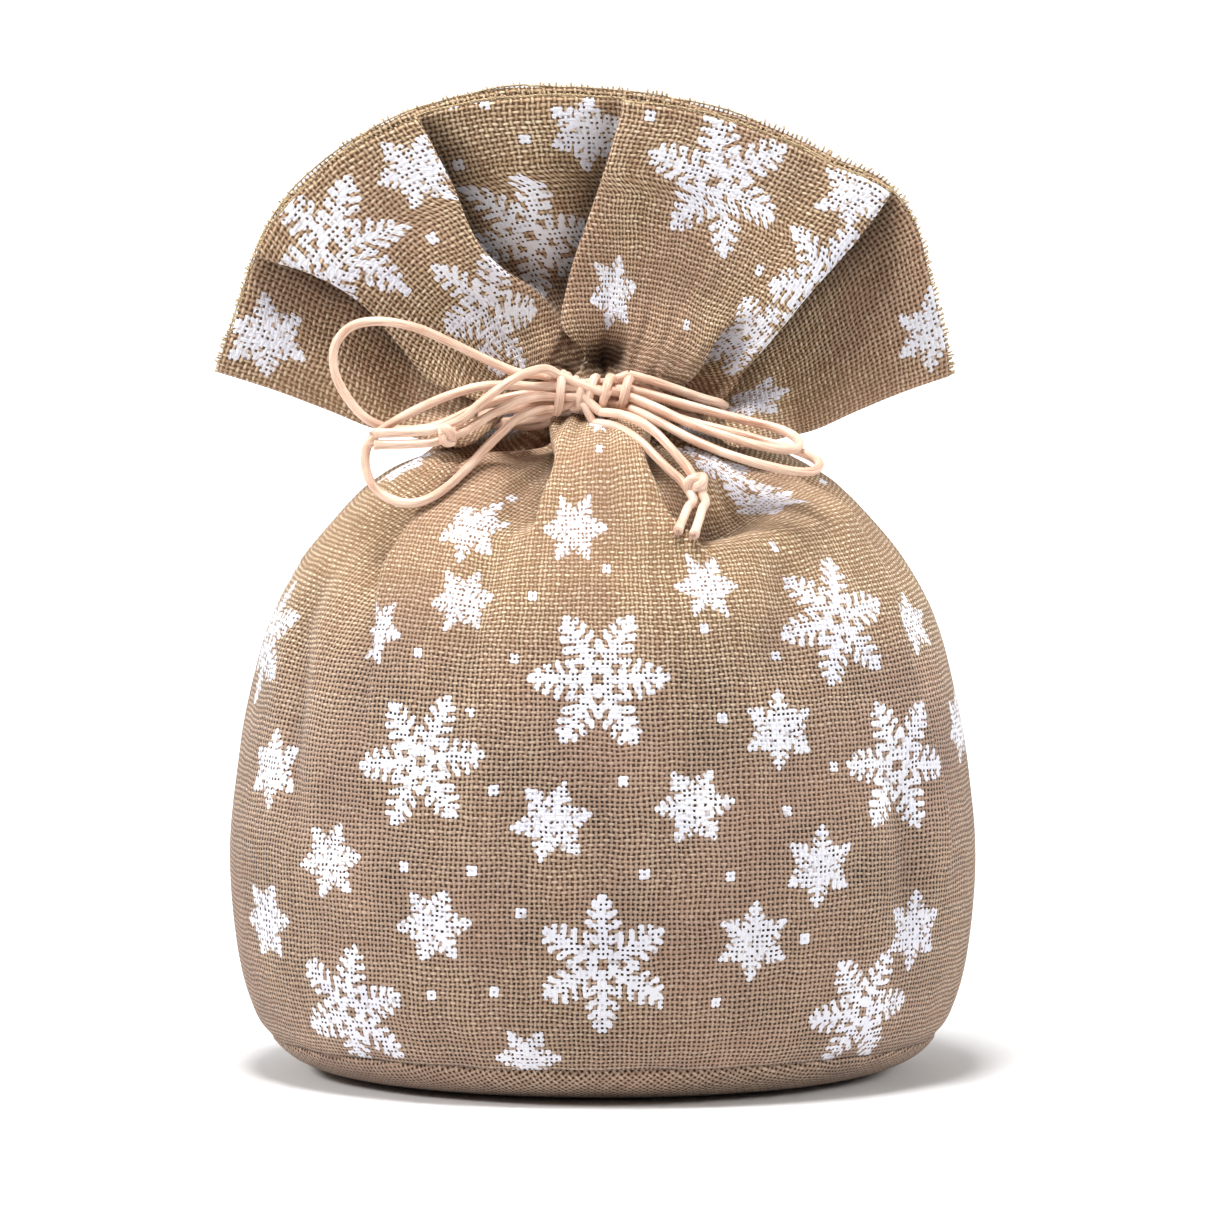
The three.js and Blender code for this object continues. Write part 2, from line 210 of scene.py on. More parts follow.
def join_grids(grids):
    """Several (points, faces, uv) grids as one."""
    points, faces, uvs, start = [], [], [], 0
    for part_points, part_faces, part_uv in grids:
        points.append(part_points)
        uvs.append(part_uv)
        faces += [tuple(start + i for i in face) for face in part_faces]
        start += len(part_points)
    return np.concatenate(points), faces, np.concatenate(uvs)


# ------------------------------------------------------------------ materials


class Value:
    """A value in a node tree. Sums and products of values are nodes of that tree."""

    def __init__(self, nodes, socket):
        self.nodes = nodes
        self.socket = socket

    def __add__(self, other):
        return self.nodes.math("ADD", self, other)

    def __sub__(self, other):
        return self.nodes.math("SUBTRACT", self, other)

    def __rsub__(self, other):
        return self.nodes.math("SUBTRACT", other, self)

    def __mul__(self, other):
        return self.nodes.math("MULTIPLY", self, other)

    def __truediv__(self, other):
        return self.nodes.math("DIVIDE", self, other)


class Nodes:
    """A few short forms for wiring a node tree."""

    def __init__(self, tree):
        self.tree = tree

    def add(self, kind, inputs=None, **values):
        node = self.tree.nodes.new(kind)
        for name, value in values.items():
            setattr(node, name, value)
        for key, value in (inputs or {}).items():
            self.put(value, node.inputs[key])
        return node

    def put(self, value, socket):
        if isinstance(value, Value):
            self.tree.links.new(value.socket, socket)
        else:
            socket.default_value = value

    def value(self, node, output=0):
        return Value(self, node.outputs[output])

    def math(self, operation, *terms):
        return self.value(self.add("ShaderNodeMath", dict(enumerate(terms)), operation=operation))

    def vector(self, operation, *terms):
        sockets = (0, "Scale") if operation == "SCALE" else (0, 1)
        node = self.add("ShaderNodeVectorMath", dict(zip(sockets, terms)), operation=operation)
        return self.value(node, "Value" if operation in ("LENGTH", "DOT_PRODUCT") else "Vector")

    def split(self, vector):
        node = self.add("ShaderNodeSeparateXYZ", {0: vector})
        return [self.value(node, k) for k in range(3)]

    def join(self, x, y, z=0.0):
        return self.value(self.add("ShaderNodeCombineXYZ", {0: x, 1: y, 2: z}))

    def noise(self, vector, scale, detail=2.0, rough=0.5):
        inputs = {"Vector": vector, "Scale": scale, "Detail": detail, "Roughness": rough}
        return self.value(self.add("ShaderNodeTexNoise", inputs))

    def random(self, vector):
        return self.value(self.add("ShaderNodeTexWhiteNoise", {"Vector": vector}), "Value")

    def between(self, value, low, high, to_low=0.0, to_high=1.0, kind="SMOOTHSTEP"):
        inputs = {"Value": value, "From Min": low, "From Max": high,
                  "To Min": to_low, "To Max": to_high}
        return self.value(self.add("ShaderNodeMapRange", inputs, interpolation_type=kind))

    def colours(self, share, a, b):
        node = self.add("ShaderNodeMix", data_type="RGBA")
        for value, socket in ((share, "Factor"), (a, 6), (b, 7)):
            self.put(value, node.inputs[socket])
        return self.value(node, 2)

    def attribute(self, name, output="Vector"):
        return self.value(self.add("ShaderNodeAttribute", attribute_name=name), output)

    def place(self, unit=1.0):
        """Where a point is on its object, in the unit given in metres."""
        place = self.value(self.add("ShaderNodeTexCoord"), "Object")
        return self.vector("SCALE", place, 1 / unit)

    def on_cloth(self):
        return self.value(self.add("ShaderNodeUVMap", uv_map="Cloth"))


def new_material(name):
    material = bpy.data.materials.new(name)
    material.use_nodes = True
    n = Nodes(material.node_tree)
    n.tree.nodes.clear()
    shader = n.add("ShaderNodeBsdfPrincipled")
    n.put(n.value(shader), n.add("ShaderNodeOutputMaterial").inputs[0])
    return material, n, shader


def dress(n, shader, colour, rough, relief, strength, distance):
    """Puts a colour, a roughness and a relief on the shader."""
    bump = n.add("ShaderNodeBump", {"Height": relief, "Strength": strength, "Distance": distance})
    for value, socket in ((colour, "Base Color"), (rough, "Roughness"), (n.value(bump), "Normal")):
        n.put(value, shader.inputs[socket])


def set_gloss(shader, specular, sheen, sheen_rough):
    shader.inputs["Specular IOR Level"].default_value = specular
    shader.inputs["Sheen Weight"].default_value = sheen
    shader.inputs["Sheen Roughness"].default_value = sheen_rough


def rgb(red, green, blue):
    """A colour given as it looks on screen, from 0 to 255, as a linear one."""
    def linear(value):
        share = value / 255
        return share / 12.92 if share <= 0.04045 else ((share + 0.055) / 1.055) ** 2.4
    return (linear(red), linear(green), linear(blue), 1.0)


WEAVE = 1.22 * MM  # from one thread of the cloth to the next
CLOTH_UV = 0.1  # the length of cloth in one unit of its UV
BRANCH_TURN = math.radians(60)


def distance_to_stroke(n, point, start, end):
    """How far a point is from a straight stroke."""
    along = Vector((end[0] - start[0], end[1] - start[1], 0))
    offset = n.vector("SUBTRACT", point, (*start, 0))
    share = n.vector("DOT_PRODUCT", offset, tuple(along)) / along.length_squared
    share = n.math("MINIMUM", n.math("MAXIMUM", share, 0.0), 1.0)
    return n.vector("LENGTH", n.vector("SUBTRACT", offset, n.vector("SCALE", tuple(along), share)))


def six_fold(n, x, y):
    """Folds the plane into one mirrored twelfth, with an arm along +X."""
    reach = n.math("SQRT", x * x + y * y)
    twelfth = math.pi / 6
    angle = n.math("ARCTAN2", y, x) + (twelfth + 2 * math.pi)
    folded = n.math("ABSOLUTE", n.math("MODULO", angle, 2 * twelfth) - twelfth)
    return n.join(reach * n.math("COSINE", folded), reach * n.math("SINE", folded)), reach


def ink_of(n, point, strokes, ring):
    """Positive inside a motif: strokes are (start, end, half width), ring its hexagon."""
    radius, half = ring
    inside = half - n.math("ABSOLUTE", n.split(point)[0] - radius)
    for start, end, half in strokes:
        inside = n.math("MAXIMUM", inside, half - distance_to_stroke(n, point, start, end))
    return inside


def arm_and_branches(arm, *branches):
    """A motif's strokes: its arm, and side branches as (start, length, half width)."""
    strokes = [((arm[0], 0), (arm[1], 0), arm[2])]
    for start, length, half in branches:
        tip = (start + length * math.cos(BRANCH_TURN), length * math.sin(BRANCH_TURN))
        strokes.append(((start, 0), tip, half))
    return strokes


FINE_MOTIF = arm_and_branches((0.14, 0.94, 0.066), (0.28, 0.27, 0.052), (0.47, 0.24, 0.048),
                              (0.64, 0.21, 0.046), (0.8, 0.14, 0.045))
FINE_RING = (0.17, 0.055)
PLAIN_MOTIF = arm_and_branches((0.14, 0.93, 0.085), (0.3, 0.33, 0.075), (0.52, 0.24, 0.07),
                               (0.74, 0.13, 0.065))
PLAIN_RING = (0.19, 0.075)
INK_EDGE = 0.12  # mm over which the ink of a motif fades, to each side of its outline


def printed_share(n, across, along):
    """1 where the cloth carries the white print: flakes and dots at the places the mesh stores."""
    centre_across, centre_along, size = n.split(n.attribute("motif"))
    kind, turn, _ = n.split(n.attribute("motif_style"))
    x, y = (across - centre_across) / size, (along - centre_along) / size
    cosine, sine = n.math("COSINE", turn), n.math("SINE", turn)
    point, reach = six_fold(n, x * cosine + y * sine, y * cosine - x * sine)
    fine = ink_of(n, point, FINE_MOTIF, FINE_RING)
    plain = ink_of(n, point, PLAIN_MOTIF, PLAIN_RING)
    is_plain = n.math("MINIMUM", kind, 1.0)
    is_dot = n.math("GREATER_THAN", kind, 1.5)
    flake = fine * (1.0 - is_plain) + plain * is_plain
    depth = flake * (1.0 - is_dot) + (1.0 - reach) * is_dot
    return n.between(depth * size, -INK_EDGE, INK_EDGE)


THREAD_LIFT, THREAD_WAVE = 0.58, 0.42  # a thread's middle height, and how it rises and dips from it
SWAY = 1.9  # mm that threads wander from a straight line
THREAD_SHARE = 0.45  # how far ink keeps to whole threads
FOLD_PAINTED_SHADE = 0.68  # how much painted shade darkens the bottom of a fold


def thread_height(n, offset, half, along_offset, wave):
    """The height of a round thread that passes over and under those that cross it."""
    share = offset / half
    dome = n.math("SQRT", n.math("MAXIMUM", 1.0 - share * share, 0.0))
    return dome * (n.math("COSINE", along_offset * math.pi) * wave + THREAD_LIFT)


def thread_colour(n, flat, column, row, slubby, weft_on_top, height):
    """Tan threads, each with its own tone, with painted shade where they dip, with rosy areas."""
    warp = n.colours(n.random(n.join(column, 3.0)), rgb(176, 145, 112), rgb(218, 193, 158))
    weft = n.colours(n.random(n.join(7.0, row)), rgb(194, 164, 130), rgb(234, 213, 181))
    weft = n.colours(n.between(slubby, 0.45, 1.0, 0.0, 0.7), weft, rgb(244, 226, 196))
    colour = n.colours(weft_on_top, warp, weft)
    # painted shade: a thread is painted brown where it dips under the threads that cross it
    colour = n.colours(n.between(height, 0.35, 0.85, 0.75, 0.0), colour, rgb(118, 84, 54))
    rosy = n.noise(n.vector("ADD", flat, (90.0, 40.0, 0.0)), 0.022)
    return n.colours(n.between(rosy, 0.35, 0.7, 0.0, 0.5), colour, rgb(168, 131, 112))


def cloth_material(name, printed, bias=False):
    """Open plain-weave cloth of slubby tan threads with gaps in painted shade, printed white or not."""
    material, n, shader = new_material(name)
    flat = n.vector("SCALE", n.on_cloth(), CLOTH_UV / MM)  # in millimetres
    across, along, _ = n.split(flat)
    if bias:
        turn = math.sqrt(0.5)
        across, along = (across + along) * turn, (along - across) * turn
    wavy_across = across + (n.noise(flat, 0.11) - 0.5) * SWAY
    wavy_along = along + (n.noise(n.vector("ADD", flat, (37.0, 11.0, 5.0)), 0.11) - 0.5) * SWAY
    pitch = WEAVE / MM
    cell_across, cell_along = wavy_across / pitch, wavy_along / pitch
    column, row = n.math("FLOOR", cell_across), n.math("FLOOR", cell_along)
    in_across, in_along = cell_across - column - 0.5, cell_along - row - 0.5
    slub_across = n.noise(n.join(column * 9.7, along * 0.35), 1.0, 1.0)
    slub_along = n.noise(n.join(across * 0.35, row * 9.7, 4.0), 1.0, 1.0)
    warp_half = n.between(slub_across, 0.25, 0.75, 0.2, 0.33, "LINEAR")
    weft_half = n.between(slub_along, 0.25, 0.75, 0.2, 0.35, "LINEAR")
    over = n.math("MODULO", column + row + 4000.0, 2.0) * 2.0 - 1.0  # 1 where the weft is on top
    warp = thread_height(n, in_across, warp_half, in_along, over * -THREAD_WAVE)
    weft = thread_height(n, in_along, weft_half, in_across, over * THREAD_WAVE)
    height = n.math("MAXIMUM", warp, weft)
    slubby = n.random(n.join(column, row, 1.0))

    patch = n.noise(flat, 0.035, 3.0, 0.6)
    rise = n.split(n.place(MM))[2]
    colour = thread_colour(n, flat, column, row, slubby, n.math("GREATER_THAN", weft, warp), height)
    # painted shade: the cloth is painted darker towards the bottom, from 130 mm high down to 85 mm
    colour = n.colours(n.between(rise, 85.0, 130.0, 0.5, 0.0), colour, rgb(152, 126, 114))
    colour = n.vector("SCALE", colour, n.between(patch, 0.25, 0.75, 0.82, 1.12, "LINEAR"))
    # painted shade: the gaps between the threads are painted dark brown, as the shade seen through them
    gap = n.colours(n.between(patch, 0.3, 0.7), rgb(34, 22, 15), rgb(70, 48, 32))
    # painted light: the gaps are painted lighter on the upper body and neck, partly for the weave closing
    # where it is gathered and partly as light from above
    gathered_and_painted_top_light = n.between(rise, 98.0, 134.0) * n.between(rise, 158.0, 176.0, 1.0, 0.25)
    gap = n.colours(gathered_and_painted_top_light, gap, rgb(134, 98, 66))
    colour = n.colours(n.between(height, 0.05, 0.3), gap, colour)
    if printed:
        # ink follows whole threads in part, so a motif's outline is stepped
        stepped_across = (column + 0.5) * (pitch * THREAD_SHARE) + wavy_across * (1 - THREAD_SHARE)
        stepped_along = (row + 0.5) * (pitch * THREAD_SHARE) + wavy_along * (1 - THREAD_SHARE)
        corner = n.join(n.math("ROUND", cell_across), n.math("ROUND", cell_along), 2.0)
        bridged = n.between(n.random(corner), 0.3, 0.75)
        ink = printed_share(n, stepped_across, stepped_along)
        ink = ink * n.math("MAXIMUM", n.between(height, 0.0, 0.2), bridged)
        ink = ink * n.between(slubby, 0.0, 0.06, 0.55, 1.0)
        white = n.colours(n.between(patch, 0.3, 0.7), rgb(222, 220, 230), rgb(238, 237, 242))
        colour = n.colours(ink, colour, white)
    # painted shade: darkens the cloth in the bottoms of folds, by the mesh's shade attribute
    colour = n.vector("SCALE", colour, 1.0 - n.attribute("shade", "Fac") * FOLD_PAINTED_SHADE)
    rough = n.between(slubby, 0.0, 1.0, 0.78, 0.92, "LINEAR")
    relief = height + n.noise(flat, 3.4, 2.0, 0.6) * 0.25
    dress(n, shader, colour, rough, relief, 0.75, 0.35 * MM)
    set_gloss(shader, 0.25, 0.12, 0.5)
    return material


def satin_material():
    """Satin cord: peach, glossy along its length, with fine lines that wind slowly round it, and painted
    highlights.
    """
    material, n, shader = new_material("satin_cord")
    around, along, _ = n.split(n.on_cloth())
    wound = around * 9.0 + along * 1.1
    fibres = n.noise(n.join(wound * 2.6, along * 0.8), 1.0, 3.0, 0.6)
    painted_highlight_patches = n.noise(n.place(9 * MM), 1.0)
    # the fibres' light and dark tones are partly the cord's streaky colour and partly painted sheen and
    # shade; the near-white patches are painted highlights
    colour = n.colours(n.between(fibres, 0.3, 0.7), rgb(182, 128, 98), rgb(246, 214, 190))
    colour = n.colours(n.between(painted_highlight_patches, 0.35, 0.7, 0.0, 0.45), colour, rgb(252, 226, 206))
    rough = n.between(fibres, 0.25, 0.75, 0.3, 0.46, "LINEAR")
    relief = n.math("SINE", wound * (2 * math.pi)) * 0.3 + fibres
    dress(n, shader, colour, rough, relief, 0.35, 0.12 * MM)
    set_gloss(shader, 0.6, 0.35, 0.35)
    return material


def thread_material():
    """Spun sewing thread: two plies seen as slanting bands, slightly fuzzy."""
    material, n, shader = new_material("sewing_thread")
    x, y, z = n.split(n.place(MM))
    fuzz = n.noise(n.place(MM), 2.2, 3.0)
    share = n.math("SINE", (x + y + z * 1.7) * 5.5) * 0.25 + fuzz
    colour = n.colours(n.between(share, 0.2, 0.9), rgb(166, 138, 100), rgb(214, 192, 156))
    dress(n, shader, colour, n.between(fuzz, 0.3, 0.7, 0.7, 0.9, "LINEAR"), share, 0.5, 0.15 * MM)
    return material


PRINTED = cloth_material("sackcloth_printed", printed=True)
UNPRINTED = cloth_material("sackcloth_inside", printed=False)
BIAS = cloth_material("sackcloth_base", printed=False, bias=True)
SATIN = satin_material()
THREAD = thread_material()

# ------------------------------------------------------------------ cords

CORD = 2.2 * MM
CORD_SIDES = 18
CORD_STEP = 0.7 * MM

# Each from the bow to its side seam, round the neck inside the casing and back to the bow
DRAWSTRINGS = {
    "left_drawstring": [
        (-0.0055, -0.0216, 0.1614), (-0.01, -0.021, 0.1608), (-0.0155, -0.0192, 0.1598),
        (-0.021, -0.0156, 0.1586), (-0.025, -0.0108, 0.1576), (-0.0258, -0.006, 0.1566),
        (-0.0232, -0.0027, 0.156), (-0.019, -0.002, 0.1559), (-0.0156, -0.003, 0.1561),
        (-0.0126, -0.0049, 0.1574), (-0.0076, -0.0078, 0.1604), (0, -0.0092, 0.1624),
        (0.0076, -0.0078, 0.1604), (0.0126, -0.0044, 0.1572), (0.0142, 0, 0.1559),
        (0.0126, 0.0044, 0.1572), (0.0076, 0.0078, 0.1604), (0, 0.0092, 0.1624),
        (-0.0076, 0.0078, 0.1604), (-0.0126, 0.0049, 0.1574), (-0.0156, 0.003, 0.1561),
        (-0.019, 0.002, 0.1559), (-0.0236, 0.0016, 0.1562), (-0.028, -0.0006, 0.1572),
        (-0.0294, -0.006, 0.1584), (-0.0276, -0.0126, 0.16), (-0.0226, -0.0174, 0.1616),
        (-0.016, -0.0204, 0.1628), (-0.0105, -0.0212, 0.1636),
    ],
    "right_drawstring": [
        (0.0062, -0.019, 0.1674), (0.012, -0.0188, 0.1656), (0.018, -0.0168, 0.163),
        (0.023, -0.0126, 0.1612), (0.0254, -0.008, 0.1598), (0.0244, -0.004, 0.159),
        (0.0216, -0.0022, 0.1587), (0.018, -0.002, 0.1587), (0.0154, -0.0031, 0.1589),
        (0.0126, -0.0049, 0.1602), (0.0076, -0.0078, 0.1632), (0, -0.0092, 0.1652),
        (-0.0076, -0.0078, 0.1632), (-0.0126, -0.0044, 0.16), (-0.0142, 0, 0.1587),
        (-0.0126, 0.0044, 0.16), (-0.0076, 0.0078, 0.1632), (0, 0.0092, 0.1652),
        (0.0076, 0.0078, 0.1632), (0.0126, 0.0049, 0.1602), (0.0154, 0.0031, 0.1589),
        (0.018, 0.002, 0.1587), (0.0224, 0.0019, 0.1588), (0.027, 0.0002, 0.1594),
        (0.0292, -0.0048, 0.1606), (0.028, -0.011, 0.1624), (0.0234, -0.0158, 0.1642),
        (0.017, -0.0189, 0.1668), (0.0116, -0.0196, 0.1688), (0.0062, -0.0194, 0.1702),
    ],
}
# Each loop of the bow, from the knot and back to it
LOOPS = {
    "left_upper_loop": [
        (-0.0106, -0.0218, 0.1694), (-0.0151, -0.0222, 0.1704), (-0.0209, -0.0228, 0.1712),
        (-0.0283, -0.0234, 0.1745), (-0.0367, -0.024, 0.1786), (-0.0449, -0.0244, 0.1821),
        (-0.053, -0.0248, 0.1836), (-0.0593, -0.0252, 0.1827), (-0.0631, -0.0256, 0.1793),
        (-0.0643, -0.026, 0.1748), (-0.0634, -0.0264, 0.17), (-0.0607, -0.0268, 0.1652),
        (-0.0569, -0.027, 0.1609), (-0.0521, -0.027, 0.1585), (-0.0468, -0.0266, 0.1577),
        (-0.0415, -0.026, 0.1581), (-0.0362, -0.0254, 0.16), (-0.0307, -0.0246, 0.1625),
        (-0.0247, -0.0234, 0.1646), (-0.018, -0.0224, 0.166), (-0.0106, -0.0218, 0.1668),
    ],
    "left_lower_loop": [
        (-0.0106, -0.0245, 0.1627), (-0.0149, -0.026, 0.1625), (-0.0199, -0.028, 0.161),
        (-0.024, -0.03, 0.1576), (-0.0281, -0.0318, 0.1537), (-0.0324, -0.0338, 0.1493),
        (-0.0374, -0.0358, 0.1449), (-0.0422, -0.0366, 0.1421), (-0.047, -0.0364, 0.1413),
        (-0.0518, -0.035, 0.1428), (-0.0552, -0.0334, 0.1459), (-0.0566, -0.032, 0.1501),
        (-0.0562, -0.0312, 0.1541), (-0.0538, -0.031, 0.1573), (-0.0497, -0.031, 0.1602),
        (-0.0439, -0.0306, 0.1633), (-0.0367, -0.0294, 0.1663), (-0.0295, -0.0276, 0.1682),
        (-0.0223, -0.026, 0.1684), (-0.0163, -0.025, 0.168), (-0.0106, -0.0245, 0.168),
    ],
    "right_upper_loop": [
        (0.0062, -0.022, 0.1669), (0.0113, -0.0224, 0.1657), (0.0185, -0.023, 0.1638),
        (0.0262, -0.0238, 0.1617), (0.0338, -0.025, 0.1599), (0.0406, -0.0266, 0.1584),
        (0.0451, -0.0288, 0.1568), (0.0468, -0.032, 0.1552), (0.0456, -0.035, 0.1541),
        (0.0415, -0.0366, 0.1543), (0.0348, -0.0364, 0.1557), (0.0271, -0.0346, 0.1579),
        (0.0199, -0.0316, 0.1602), (0.0125, -0.0276, 0.1633), (0.0062, -0.0247, 0.1656),
    ],
    "right_lower_loop": [
        (0.0062, -0.022, 0.1642), (0.0118, -0.024, 0.1623), (0.0194, -0.0256, 0.16),
        (0.0276, -0.027, 0.158), (0.0358, -0.0284, 0.156), (0.0434, -0.03, 0.154),
        (0.0492, -0.0324, 0.1521), (0.0516, -0.036, 0.1506), (0.0499, -0.0392, 0.1493),
        (0.0449, -0.0406, 0.1495), (0.0372, -0.0404, 0.1512), (0.029, -0.0388, 0.1536),
        (0.0214, -0.0356, 0.1564), (0.0137, -0.0304, 0.1599), (0.0062, -0.0247, 0.1629),
    ],
}
# Each tail, from the bow to its end knot
TAILS = {
    "left_tail_front": [
        (-0.0106, -0.0245, 0.1707), (-0.0137, -0.0262, 0.1723), (-0.018, -0.0288, 0.1717),
        (-0.0223, -0.0312, 0.1698), (-0.0266, -0.033, 0.1669), (-0.0306, -0.0342, 0.1637),
        (-0.034, -0.0348, 0.1609),
    ],
    "left_tail_back": [
        (-0.0106, -0.0246, 0.1654), (-0.0151, -0.0262, 0.1656), (-0.0194, -0.0286, 0.1651),
        (-0.0238, -0.0308, 0.1634), (-0.0281, -0.0326, 0.1612), (-0.0314, -0.034, 0.1592),
        (-0.0338, -0.0347, 0.158),
    ],
    "right_tail_upper": [
        (-0.0007, -0.0267, 0.162), (0.0036, -0.0302, 0.162), (0.0079, -0.034, 0.161),
        (0.012, -0.0374, 0.1588), (0.0156, -0.04, 0.1555), (0.0185, -0.042, 0.1524),
        (0.0206, -0.0432, 0.1499),
    ],
    "right_tail_lower": [
        (-0.0022, -0.0267, 0.1594), (0.0022, -0.0302, 0.1592), (0.006, -0.034, 0.1578),
        (0.0096, -0.0376, 0.1556), (0.013, -0.0404, 0.1525), (0.0162, -0.0424, 0.1496),
        (0.0188, -0.0436, 0.1474),
    ],
}
# Each cut end, from its end knot
CUT_ENDS = {
    "left_cut_end_upper": [
        (-0.0402, -0.035, 0.1586), (-0.043, -0.0352, 0.1584), (-0.0475, -0.0354, 0.1581),
        (-0.0545, -0.0354, 0.1579),
    ],
    "left_cut_end_lower": [
        (-0.0402, -0.0352, 0.1558), (-0.043, -0.0354, 0.1555), (-0.0475, -0.0356, 0.1553),
        (-0.0545, -0.0356, 0.1552),
    ],
    "right_cut_end_left": [
        (0.0215, -0.047, 0.1435), (0.0203, -0.0482, 0.1418), (0.0191, -0.0504, 0.1393),
        (0.0178, -0.0536, 0.1366),
    ],
    "right_cut_end_right": [
        (0.0243, -0.0471, 0.1434), (0.0237, -0.0483, 0.1416), (0.0228, -0.0505, 0.1388),
        (0.0216, -0.0536, 0.1356),
    ],
}
TAIL_ENDS = {
    "left_tail_front": ("left_cut_end_upper", "left_tail", "left_end_knot_cord"),
    "left_tail_back": ("left_cut_end_lower", "left_tail", "left_end_knot_cord"),
    "right_tail_upper": ("right_cut_end_right", "right_tail", "right_end_knot_cord"),
    "right_tail_lower": ("right_cut_end_left", "right_tail", "right_end_knot_cord"),
}

def add_satin(name, grids, body):
    """A piece of satin cord that rides on a body."""
    points, faces, uv = join_grids(grids)
    piece = add_piece(name, points, faces, [SATIN], uv)
    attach(piece, body)
    return piece


def soft_radius(path, phase, swell=0.05):
    """A soft cord's radius along its path: it swells and thins a little."""
    along = run_length(path) / MM
    ripple = np.sin(along / 3.1 + phase) + 0.6 * np.sin(along / 7.3 + 2 * phase)
    return CORD / 2 * (1 + swell * 0.5 * ripple)


END_FILAMENTS = 26


def frayed_end(path, radii):
    """Makes the last 2 mm of a cut cord spread a little, as its filaments come loose."""
    left = run_length(path)[-1] - run_length(path)
    return radii * (1 + 0.16 * np.exp(-((left / (1.4 * MM)) ** 2)))


def filaments(tip, direction, count):
    """Loose filaments that stand out of a cut end."""
    grids = []
    for _ in range(count):
        start = tip + RANDOM.normal(0, 0.35 * MM, 3)
        lean = unit(direction + RANDOM.normal(0, 0.35, 3))
        length = RANDOM.uniform(0.5, 1.5) * MM
        path = np.array([start - lean * 0.4 * MM, start, start + lean * length * 0.6,
                         start + lean * length + RANDOM.normal(0, 0.15 * MM, 3)])
        grids.append(tube_grid(path, 0.07 * MM, 3))
    return grids


def add_cord(name, route, body, replaced, cut=False):
    path = even_points(route, CORD_STEP)
    phase = RANDOM.uniform(0, 6)
    radii = soft_radius(path, phase)
    if cut:
        radii = frayed_end(path, radii)
    grids = [tube_grid(path, radii, CORD_SIDES)]
    if cut:
        grids += filaments(path[-1], unit(path[-1] - path[-3]), END_FILAMENTS)
    piece = add_satin(name, grids, body)
    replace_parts(piece, *replaced)


def overhand_knot(name, centre, axis, size, body):
    """A small tight overhand knot: one cord's trefoil, pulled flat along axis."""
    turn = np.linspace(0, 2 * math.pi, 73)
    trefoil = np.stack([
        np.sin(turn) + 2 * np.sin(2 * turn),
        np.cos(turn) - 2 * np.cos(2 * turn),
        -1.35 * np.sin(3 * turn),
    ], axis=1) * size
    centre, forward = np.array(centre), unit(np.asarray(axis, float))
    side = unit(np.cross(forward, [0.0, 1.0, 0.2]))
    up = np.cross(forward, side)
    path = centre + trefoil @ np.stack([side, up, forward])
    grid = tube_grid(path, CORD / 2 * 1.02, 16)
    core = tube_grid(centre + np.outer(np.linspace(-1, 1, 9), forward) * 2.1 * MM, 2.0 * MM, 16)
    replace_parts(add_satin(name, [grid, core], body), name.removesuffix("_cord"))


BOW = np.array([-0.002, -0.0225, 0.1665])


def bow_knot():
    """The bow's knot: strands that pass through it, bound by slanting turns of cord."""
    grids = []
    for start, middle, end in KNOT_STRANDS:
        middle = BOW + (np.array(middle) - BOW) * KNOT_PINCH
        path = even_points([start, mix(np.array(start), np.array(middle), 0.6), middle,
                            mix(np.array(middle), np.array(end), 0.5), end], CORD_STEP)
        grids.append(tube_grid(path, soft_radius(path, start[2] * 900), CORD_SIDES))
    for first_x, last_x, turns, start_turn, reach in KNOT_TURNS:
        share = np.linspace(0, 1, int(22 * turns) + 8)
        angle = start_turn + share * turns * 2 * math.pi
        radius = reach - 0.4 * MM * np.cos(share * 2 * math.pi)
        path = np.stack([
            BOW[0] + mix(first_x, last_x, share),
            BOW[1] - radius * np.cos(angle),
            BOW[2] + radius * np.sin(angle) * 1.08,
        ], axis=1)
        grids.append(tube_grid(even_points(path, CORD_STEP), CORD / 2, CORD_SIDES))
    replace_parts(add_satin("bow_knot_cords", grids, "sack"), "bow_knot")


KNOT_STRANDS = [
    ((-0.0106, -0.0218, 0.1694), (-0.004, -0.0212, 0.1678), (0.0062, -0.022, 0.1669)),
    ((-0.0106, -0.0218, 0.1668), (-0.004, -0.0225, 0.1655), (0.0062, -0.0222, 0.1645)),
    ((-0.0106, -0.0245, 0.168), (-0.003, -0.0256, 0.1684), (0.0062, -0.0242, 0.1662)),
    ((-0.0106, -0.0245, 0.1627), (-0.004, -0.0235, 0.1638), (0.0062, -0.0244, 0.163)),
    ((-0.0106, -0.0246, 0.1707), (-0.0035, -0.0264, 0.1692), (0.0018, -0.0258, 0.166)),
    ((-0.0106, -0.0246, 0.1654), (-0.0045, -0.0262, 0.1648), (-0.0007, -0.0267, 0.162)),
    ((-0.0075, -0.0238, 0.1625), (-0.0045, -0.0262, 0.161), (-0.0022, -0.0267, 0.1594)),
    ((0.0062, -0.0194, 0.1702), (0.001, -0.021, 0.1706), (-0.004, -0.0225, 0.1685)),
    ((0.0062, -0.019, 0.1674), (0.001, -0.0205, 0.1682), (-0.004, -0.022, 0.1665)),
    ((-0.0055, -0.0216, 0.1614), (-0.003, -0.0225, 0.1628), (0.0005, -0.0232, 0.165)),
    ((-0.0105, -0.0212, 0.1636), (-0.006, -0.0218, 0.1642), (-0.001, -0.0225, 0.166)),
]
KNOT_PINCH = (1, 0.9, 0.5)  # how close the turns pull the strands to the knot's middle
KNOT_TURNS = [
    (-0.0104, -0.0072, 1.15, 1.25, 0.0042),
    (-0.0072, -0.0026, 1.0, 0.85, 0.0037),
    (-0.0046, 0.0004, 0.95, 2.1, 0.0034),
    (-0.001, 0.0046, 0.95, 2.5, 0.0033),
    (0.0036, 0.0084, 0.95, 1.7, 0.0034),
]
